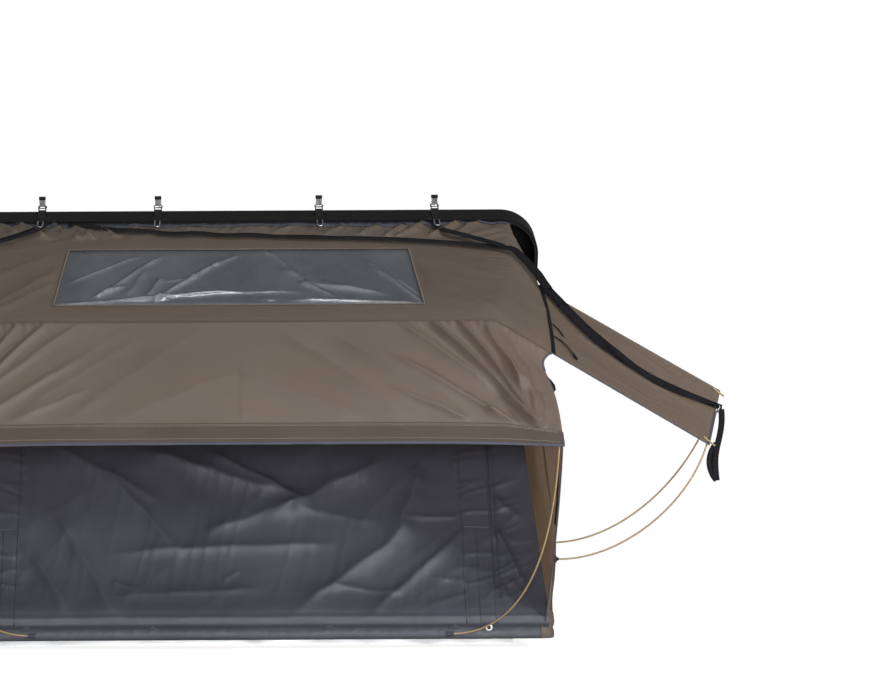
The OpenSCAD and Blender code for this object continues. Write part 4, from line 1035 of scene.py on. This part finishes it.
levels = list(range(len(skirtSet["profile"])))
skirtFront = clothGrid("skirtFront", steps(-skirtSet["meet"], skirtSet["meet"], 300), levels,
                       lambda d, k: skirtAt(abs(d), k, signOf(d), 0.0), wallCloth, "base")
madeOf(skirtFront, "wall_fabric", "skirt")
for sideName, side in bothSides:
    piece = clothGrid(f"skirtEnd_{sideName}", steps(skirtSet["meet"] - 0.002, skirtLong, 150), levels,
                      lambda d, k: skirtAt(d, k, side, 0.0016), taupeCloth, "base")
    madeOf(piece, "taupe_fabric", "skirt")
eyeletSet = {"at": (0.797, baseFront - 0.0064, 0.066),  # then radius and height pairs
             "profile": [(0.0056, -0.002), (0.0056, 0.0016), (0.0075, 0.0032), (0.0105, 0.0026),
                         (0.0125, 0.0006), (0.0125, -0.002)]}
eyelets = [turned("eyelet", mirrored(Vector(eyeletSet["at"]), side), Vector((0, -1, 0)), eyeletSet["profile"],
                  latchSteel, "base") for side in (-1, 1)]
eyelets = joined("eyelets", eyelets, "steel")
print("skirt made")

# side awnings on their spring rods
sideSet = {"near": (0.498, 0.294), "far": (0.632, 0.347), "len": 0.44, "sag": 0.022, "wrinkle": 0.003,
           "cols": 100, "rows": 70}
sideFolds = [(0.1, 0.62, 0.9, 0.5, 0.03, 0.004), (0.3, 0.85, 0.7, 0.62, 0.02, 0.004),
             (0.5, 0.9, 0.8, 0.8, 0.02, 0.003), (0.05, 0.3, 0.6, 0.22, 0.03, 0.003)]
seamShare = sideSet["len"] / (roofTop.y - roofBreak.y)


def seamAt(v):
    return roofPlain(1, 1 - seamShare * v) + Vector((0.0004, 0.002, 0))


seamNear, seamFar = seamAt(0), seamAt(1)
seamFar.x = canopyHalf - roofSet["topIn"] * seamShare + 0.0004  # the tips leave out the seam's bow
tipNear = seamNear + Vector((sideSet["near"][0], 0, -sideSet["near"][1]))
tipFar = seamFar + Vector((sideSet["far"][0], 0, -sideSet["far"][1]))
sideNormal = (tipNear - seamNear).cross(seamFar - seamNear).normalized()
if sideNormal.z < 0:
    sideNormal = -sideNormal


def sidePlain(u, v):
    p = seamAt(v).lerp(tipNear.lerp(tipFar, v), u)
    return p - upwards * sideSet["sag"] * math.sin(math.pi * u) * math.sin(math.pi * v)


def sideAwningAt(u, v, side):
    p = sidePlain(u, v)
    w = crease(u * 0.6, v * 0.5, 8, 0.05, 0.5, 3.0 + side) + soft(u * 3, v * 3, 1.0 + side)
    w = sideSet["wrinkle"] * 0.5 * w + foldsOf(u, v, sideFolds)
    w *= clamp(8 * u, 8 * (1 - u), 6 * v, 6 * (1 - v))
    return mirrored(p + upwards * (w - 0.0012), side)


# elastic loops that hold the rolled wall, and the end of one
sideLoops = ([(0.02, 0.46), (0.05, 0.44), (0.075, 0.40), (0.085, 0.37), (0.07, 0.385), (0.045, 0.425),
              (0.02, 0.45)],
             [(0.015, 0.27), (0.06, 0.275), (0.10, 0.25), (0.135, 0.20), (0.15, 0.15), (0.135, 0.135),
              (0.122, 0.165), (0.105, 0.215), (0.06, 0.255), (0.015, 0.262)])
loopEnd = [(0.135, 0.165), (0.152, 0.125)]
sideHems = ([(0.03, 0.04), (0.97, 0.04)], [(0.03, 0.965), (0.97, 0.965)], [(0.97, 0.04), (0.97, 0.965)])
sideAwnings, sideTrim = {}, {}
for sideName, side in bothSides:
    body = f"side_awning_{sideName}"
    out, anchor = mirrored(sideNormal, side), mirrored(seamNear, side)

    def skin(u, v):
        return sideAwningAt(u, v, side)

    def tape(corners, n, wide, thick, lift, material, sides):
        return tapeOn("sideTape", skin, placesOn(corners, n), out, wide, thick, lift, material, body, sides)

    piece = clothGrid(f"sideAwning_{sideName}", steps(0, 1, sideSet["cols"]), steps(0, 1, sideSet["rows"]),
                      skin, taupeCloth, body)
    madeOf(piece, "taupe_fabric", f"side_awning_{sideName}")
    bound = [tape([(0.0, 0.004), (0.998, 0.004)], 60, 0.010, 0.004, 0.0, bindingCloth, 8),
             tape([(0.998, 0.0), (0.998, 0.6)], 40, 0.009, 0.004, 0.0, bindingCloth, 8)]
    bound = joined(f"sideBinding_{sideName}", bound, "wall_fabric")
    dark = [tape([(0.004, 0.0), (0.004, 1.0)], 50, 0.014, 0.003, 0.002, webbingCloth, 4)]
    dark += [tape(loop, 4, 0.003, 0.003, 0.004, webbingCloth, 6) for loop in sideLoops]
    dark.append(tape(loopEnd, 4, 0.008, 0.007, 0.005, webbingCloth, 8))
    dark = joined(f"sideSeam_{sideName}", dark, "webbing")
    hem = [stitchOn("sideHem", skin, placesOn(line, 60), out, 0.0006, body) for line in sideHems]
    hem = joined(f"sideHem_{sideName}", hem, "taupe_fabric")
    sideAwnings[sideName], sideTrim[sideName] = piece, (bound, dark, hem)
    foldsFlat(out, anchor, sideKeep, piece, bound, dark, hem)
print("side awnings made")

# spring rods, with the tips that stand out of the side awnings' corners
rodSet = {"d": 0.006, "under": 0.0071, "rings": 56, "sides": 10, "frontEnd": (0.673, -0.7274, 0.047),
          "foot": ((0.02, 0.19), (0.185, 0.21)), "seat": 0.0032, "tip": 0.034, "end": 0.985,
          "endV": (0.03, 0.97), "tipU": 0.96, "tipV": (0.05, 0.95), "foldWay": (0, 0.211, -0.977),
          "foldBack": (0, -0.0025, 0.0117)}
cupProfile = [(0.012, -0.006), (0.013, 0.001), (0.011, 0.003), (0.006, 0.004), (0.0055, 0.009),
              (0.004, 0.010), (0.0036, 0.009), (0.0036, -0.006)]


def rodSeat(k):
    return endWallPlain(*rodSet["foot"][k]) + Vector((rodSet["seat"], 0, 0))


def sideRodPath(k):
    top = sidePlain(rodSet["end"], rodSet["endV"][k]) - upwards * rodSet["under"]
    end = rodSeat(k) + Vector((0.003, 0, 0))
    out, drop = top.x - end.x, top.z - end.z
    path = (top, top - Vector((0.12 * out, 0, 0.54 * drop)), end + Vector((0.42 * out, 0, -0.02 * drop)), end)
    return [bezier(path, t) for t in steps(0, 1, rodSet["rings"])]


def frontRodPath():
    top = awningPlain(rodSet["end"], rodSet["end"]) - upwards * rodSet["under"]
    end = Vector(rodSet["frontEnd"])
    span = top - end
    bent = top - Vector((0.06 * span.x, 0.12 * span.y, 0.58 * span.z))
    path = (top, bent, end + Vector((0.72 * span.x, 0, 0)), end)
    return [bezier(path, t) for t in steps(0, 1, rodSet["rings"])]


def rodTip(k):
    start = sidePlain(rodSet["tipU"], rodSet["tipV"][k]) + upwards * 0.005
    return [start + Vector((1.1, 0, -0.9)) * rodSet["tip"] * t for t in steps(0, 1, 6)]


def rodAlong(name, path, side, body, up):
    line, d = [mirrored(p, side) for p in path], rodSet["d"]
    return runAlong(name, line, d, d, rodFinish, body, rodSet["sides"], Vector(up))


rodCups = []
for sideName, side in bothSides:
    rod = rodAlong(f"frontRod_{sideName}", frontRodPath(), side, "awning", (0.3, 1, 0))
    madeOf(rod, "rod_tan", "front_rods")
    anchor = awningPlain(rodSet["end"], rodSet["end"]) + Vector(rodSet["foldBack"])
    foldsFlat(Vector(rodSet["foldWay"]), mirrored(anchor, side), sheetKeep, rod)
    pair = []
    for k in (0, 1):
        for path in (sideRodPath(k), rodTip(k)):
            pair.append(rodAlong("sideRod", path, side, f"side_awning_{sideName}", (0, 1, 0.01)))
        cupAt = mirrored(rodSeat(k), side)
        rodCups.append(turned("rodCup", cupAt, Vector((side, 0, 0)), cupProfile, blackPlastic, "base"))
    rod = joined(f"sideRods_{sideName}", pair, "rod_tan", f"side_rods_{sideName}")
    foldsFlat(mirrored(sideNormal, side), mirrored(seamNear, side), sheetKeep, rod)
rodCups = joined("rodCups", rodCups, "black_plastic", "side_rod_sockets")
foldsFlat(upwards, baseTop, wallKeep, rodCups)
print("spring rods made")

# webbing over the roof and along the side awnings
webSet = {"roofWide": 0.034, "joinWide": 0.03, "wide": 0.038, "narrow": 0.022, "thick": 0.0016,
          "double": 0.0022, "doubleWide": 0.036, "cordWide": 0.007, "roofLift": 0.012, "joinLift": 0.016,
          "lift": 0.0035, "past": 0.014, "tail": 0.235, "loop": (-0.115, -0.232), "steps": 70}
webRight = [(0.0, 0.159), (0.22, 0.184), (0.4, 0.199), (0.57, 0.216), (0.71, 0.246), (0.8, 0.27),
            (0.875, 0.293), (0.915, 0.316), (0.945, 0.348), (0.975, 0.412), (0.998, 0.468), (1.006, 0.512),
            (1.016, 0.548)]
webLeft = [(-0.62, 0.03), (-0.5, 0.075), (-0.36, 0.113), (-0.2, 0.139)]
webJoin = [(0.715, 0.05), (0.722, 0.085), (0.746, 0.133), (0.808, 0.2), (0.863, 0.256), (0.912, 0.311)]


def strapAlong(name, points, wide, body, ups, thick=webSet["thick"]):
    return runAlong(name, points, wide, thick, webbingCloth, body, 4, ups)


def frontFace(side):
    return Vector((0.2 * side, -0.75, 0.63))


# a run on the roof, turned a little to the front where it is pulled tight
def webOn(corners, wide, lift, turn):
    points, ups = lineOn(roofPlain, placesOn(corners, 12), roofNormal, lift)
    for i in range(len(points)):
        t = turn(i / (len(points) - 1))
        ups[i] = ups[i].lerp(frontFace(signOf(points[i].x)), t).normalized()
        points[i] = points[i] + roofNormal * 0.3 * wide * t
    return strapAlong("roofWeb", points, wide, "canopy", ups)


roofWeb = [webOn(webLeft + webRight, webSet["roofWide"], webSet["roofLift"],
                 lambda t: ease((t - 0.62) / 0.2)),
           webOn(webJoin, webSet["joinWide"], webSet["joinLift"], lambda t: 0.3),
           webOn([(-u, v) for u, v in webJoin + webRight[8:]], webSet["roofWide"], webSet["joinLift"],
                 lambda t: 0.3 + 0.7 * ease((t - 0.5) / 0.2))]
roofWeb = joined("roofWebbing", roofWeb, "webbing", "roof_webbing")
foldsFlat(roofNormal, roofTop, sheetKeep, roofWeb)


# where the webbing lies on a side awning
def webLine(u):
    return 0.57 + 0.42 * (1 - u) ** 5 + 0.08 * u ** 4


for sideName, side in bothSides:
    body = f"side_awning_{sideName}"
    out, anchor = mirrored(sideNormal, side), mirrored(seamNear, side)
    uList = steps(0.0, 1.0, webSet["steps"])
    places = [(u, webLine(u)) for u in uList]
    points, ups = lineOn(lambda u, v: sideAwningAt(u, v, side), places, out, webSet["lift"])
    wide = [lerp(webSet["wide"], webSet["narrow"], ease((u - 0.3) / 0.3)) for u in uList]
    for i, u in enumerate(uList):  # turned to the front, as it hangs between its ends
        points[i] = points[i] + out * 0.34 * wide[i]
        ups[i] = frontFace(side).lerp((ups[i] + Vector((0, -0.9, 0))).normalized(), ease(u / 0.3))
    points.append(points[-1] + (points[-1] - points[-6]).normalized() * webSet["past"])
    web = [strapAlong("sideWeb", points, wide + [webSet["narrow"]], body, ups + [ups[-1]])]
    second = [p + ups[i] * 0.003 + Vector((0, -0.004, -0.004)) for i, p in enumerate(points[6:26])]
    web.append(strapAlong("sideWebDouble", second, webSet["doubleWide"], body, ups[6:26], webSet["double"]))
    thin = [p + ups[i] * 0.002 + Vector((0, -0.012, -0.016 * math.sin(math.pi * i / 45)))
            for i, p in enumerate(points[24:70])]
    web.append(strapAlong("sideWebThin", thin, webSet["cordWide"], body, ups[24:70], webSet["double"]))
    web = joined(f"sideWebbing_{sideName}", web, "webbing", f"side_webbing_{sideName}")
    low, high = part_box(f"tie_tail_{sideName}")
    start = Vector(((low.x + high.x) / 2, (low.y + high.y) / 2, high.z))
    tailLine, loopLine = [], []
    for t in steps(0, 1, 40):
        sway = 0.004 * math.sin(t * 6.3) - 0.016 * ease(t * 1.4)
        tailLine.append(start + Vector((side * sway, 0, -webSet["tail"] * t)))
    for t in steps(0, 1, 20):
        sway = 0.016 + 0.024 * math.sin(math.pi * t) ** 0.7
        loopLine.append(start + Vector((-side * sway, -0.003, lerp(*webSet["loop"], t))))
    face = Vector((0.35 * side, -0.94, 0))
    tail = strapAlong(f"tieTail_{sideName}", tailLine, webSet["narrow"], body, face)
    madeOf(tail, "webbing", f"tie_tail_{sideName}")
    loop = madeOf(strapAlong(f"tailLoop_{sideName}", loopLine, webSet["narrow"], body, face), "webbing")
    foldsFlat(out, anchor, sideKeep, web)
    foldsFlat(out, anchor, sheetKeep, tail, loop)
print("webbing made")

# mattress: a crowned pad with drawn-in sides and sewn channels
padSet = {"edge": 0.044, "crown": 0.010, "tuck": 0.009, "cols": 72, "rows": 52, "dip": 0.006}
padLow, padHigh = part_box("mattress")


def padGrid():
    half = (padHigh - padLow) / 2
    mid = (padHigh + padLow) / 2
    points, faces, uvs = [], [], []
    nu, nv = padSet["cols"], padSet["rows"]
    for level in (1, 0):
        for i in range(nu + 1):
            for j in range(nv + 1):
                u, v = 2 * i / nu - 1, 2 * j / nv - 1
                x = half.x * u - padSet["tuck"] * (1 - v * v) * u ** 5
                y = half.y * v - padSet["tuck"] * (1 - u * u) * v ** 5
                z = padLow.z
                if level:
                    dip = hump((abs(u) * 3) % 1, 0.5, 0.1) + hump((abs(v) * 2) % 1, 0.5, 0.1)
                    dip *= padSet["dip"] * (1 - u ** 8) * (1 - v ** 8)
                    crown = padSet["crown"] * (1 - u ** 6) * (1 - v ** 6)
                    z += padSet["edge"] + crown - dip
                points.append(Vector((mid.x + x, mid.y + y, z)))
                uvs.append((x, y))
    n, w = (nu + 1) * (nv + 1), nv + 1
    for i in range(nu):
        for j in range(nv):
            a = i * w + j
            faces += [(a, a + w, a + w + 1, a + 1), (a + n, a + n + 1, a + n + w + 1, a + n + w)]
    for j in range(nv):
        a, b = j, nu * w + j
        faces += [(a, a + 1, a + 1 + n, a + n), (b + 1, b, b + n, b + 1 + n)]
    for i in range(nu):
        a, b = i * w, i * w + nv
        faces += [(a + w, a, a + n, a + w + n), (b, b + w, b + w + n, b + n)]
    return points, faces, uvs


padPoints, padFaces, padUvs = padGrid()
mattress = pieceFrom("mattressPad", padPoints, padFaces, mattressCloth, "base", padUvs)
madeOf(mattress, "mattress_fabric", "mattress")
print("mattress made")

# each piece listed to fold as the lid shuts gets its own mesh
for piece, axis, anchor, keep in squashList:
    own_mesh(piece)

for sideName, side in bothSides:
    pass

# floor, light and backdrop
stageSet = {"floor": (0.86, 0.86, 0.86), "lift": 0.86, "world": 0.15, "size": 80, "aim": (0, -0.2, 0.7)}
white = (1, 1, 1, 1)


# true for what the camera sees straight on or through film
def seenRays(tree):
    rays = addNode(tree, "ShaderNodeLightPath")
    return mathOf(tree, "MAXIMUM", rays.outputs["Is Camera Ray"], rays.outputs["Is Transmission Ray"])


bpy.ops.mesh.primitive_plane_add(size=stageSet["size"])
floor = bpy.context.object
floor.name = "floor"
floorPaint, tree, shader = newMaterial("floorPaint")
glow = mathOf(tree, "MULTIPLY", seenRays(tree), stageSet["lift"])
feed(tree, shader, {"Roughness": 0.9, "Specular IOR Level": 0.1, "Base Color": (*stageSet["floor"], 1),
                    "Emission Color": white, "Emission Strength": glow})
floor.data.materials.append(floorPaint)

world = bpy.data.worlds.new("studio")
scene.world = world
world.use_nodes = True
tree = world.node_tree
plain = tree.nodes["Background"]
feed(tree, plain, {"Color": white, "Strength": stageSet["world"]})
bright = addNode(tree, "ShaderNodeBackground", {"Color": white, "Strength": 1.0})
mix = addNode(tree, "ShaderNodeMixShader", {0: seenRays(tree), 1: plain.outputs[0], 2: bright.outputs[0]})
feed(tree, tree.nodes["World Output"], {"Surface": mix.outputs[0]})

# where each lamp stands, its size and its power
lampSet = {"front": ((0.3, -12.5, 0.95), 2.4, 820), "key": ((6.5, -5.5, 2.8), 1.4, 320),
           "rear": ((-3.0, 7.5, 1.5), 4, 200), "top": ((0.3, -1.0, 5.4), 0.7, 32)}
for name, (at, size, power) in lampSet.items():
    lampData = bpy.data.lights.new(name, "AREA")
    lampData.size = size
    lampData.energy = power
    lamp = bpy.data.objects.new(name, lampData)
    lamp.location = at
    lamp.rotation_euler = (Vector(stageSet["aim"]) - Vector(at)).to_track_quat("-Z", "Y").to_euler()
    scene.collection.objects.link(lamp)
print("stage set")
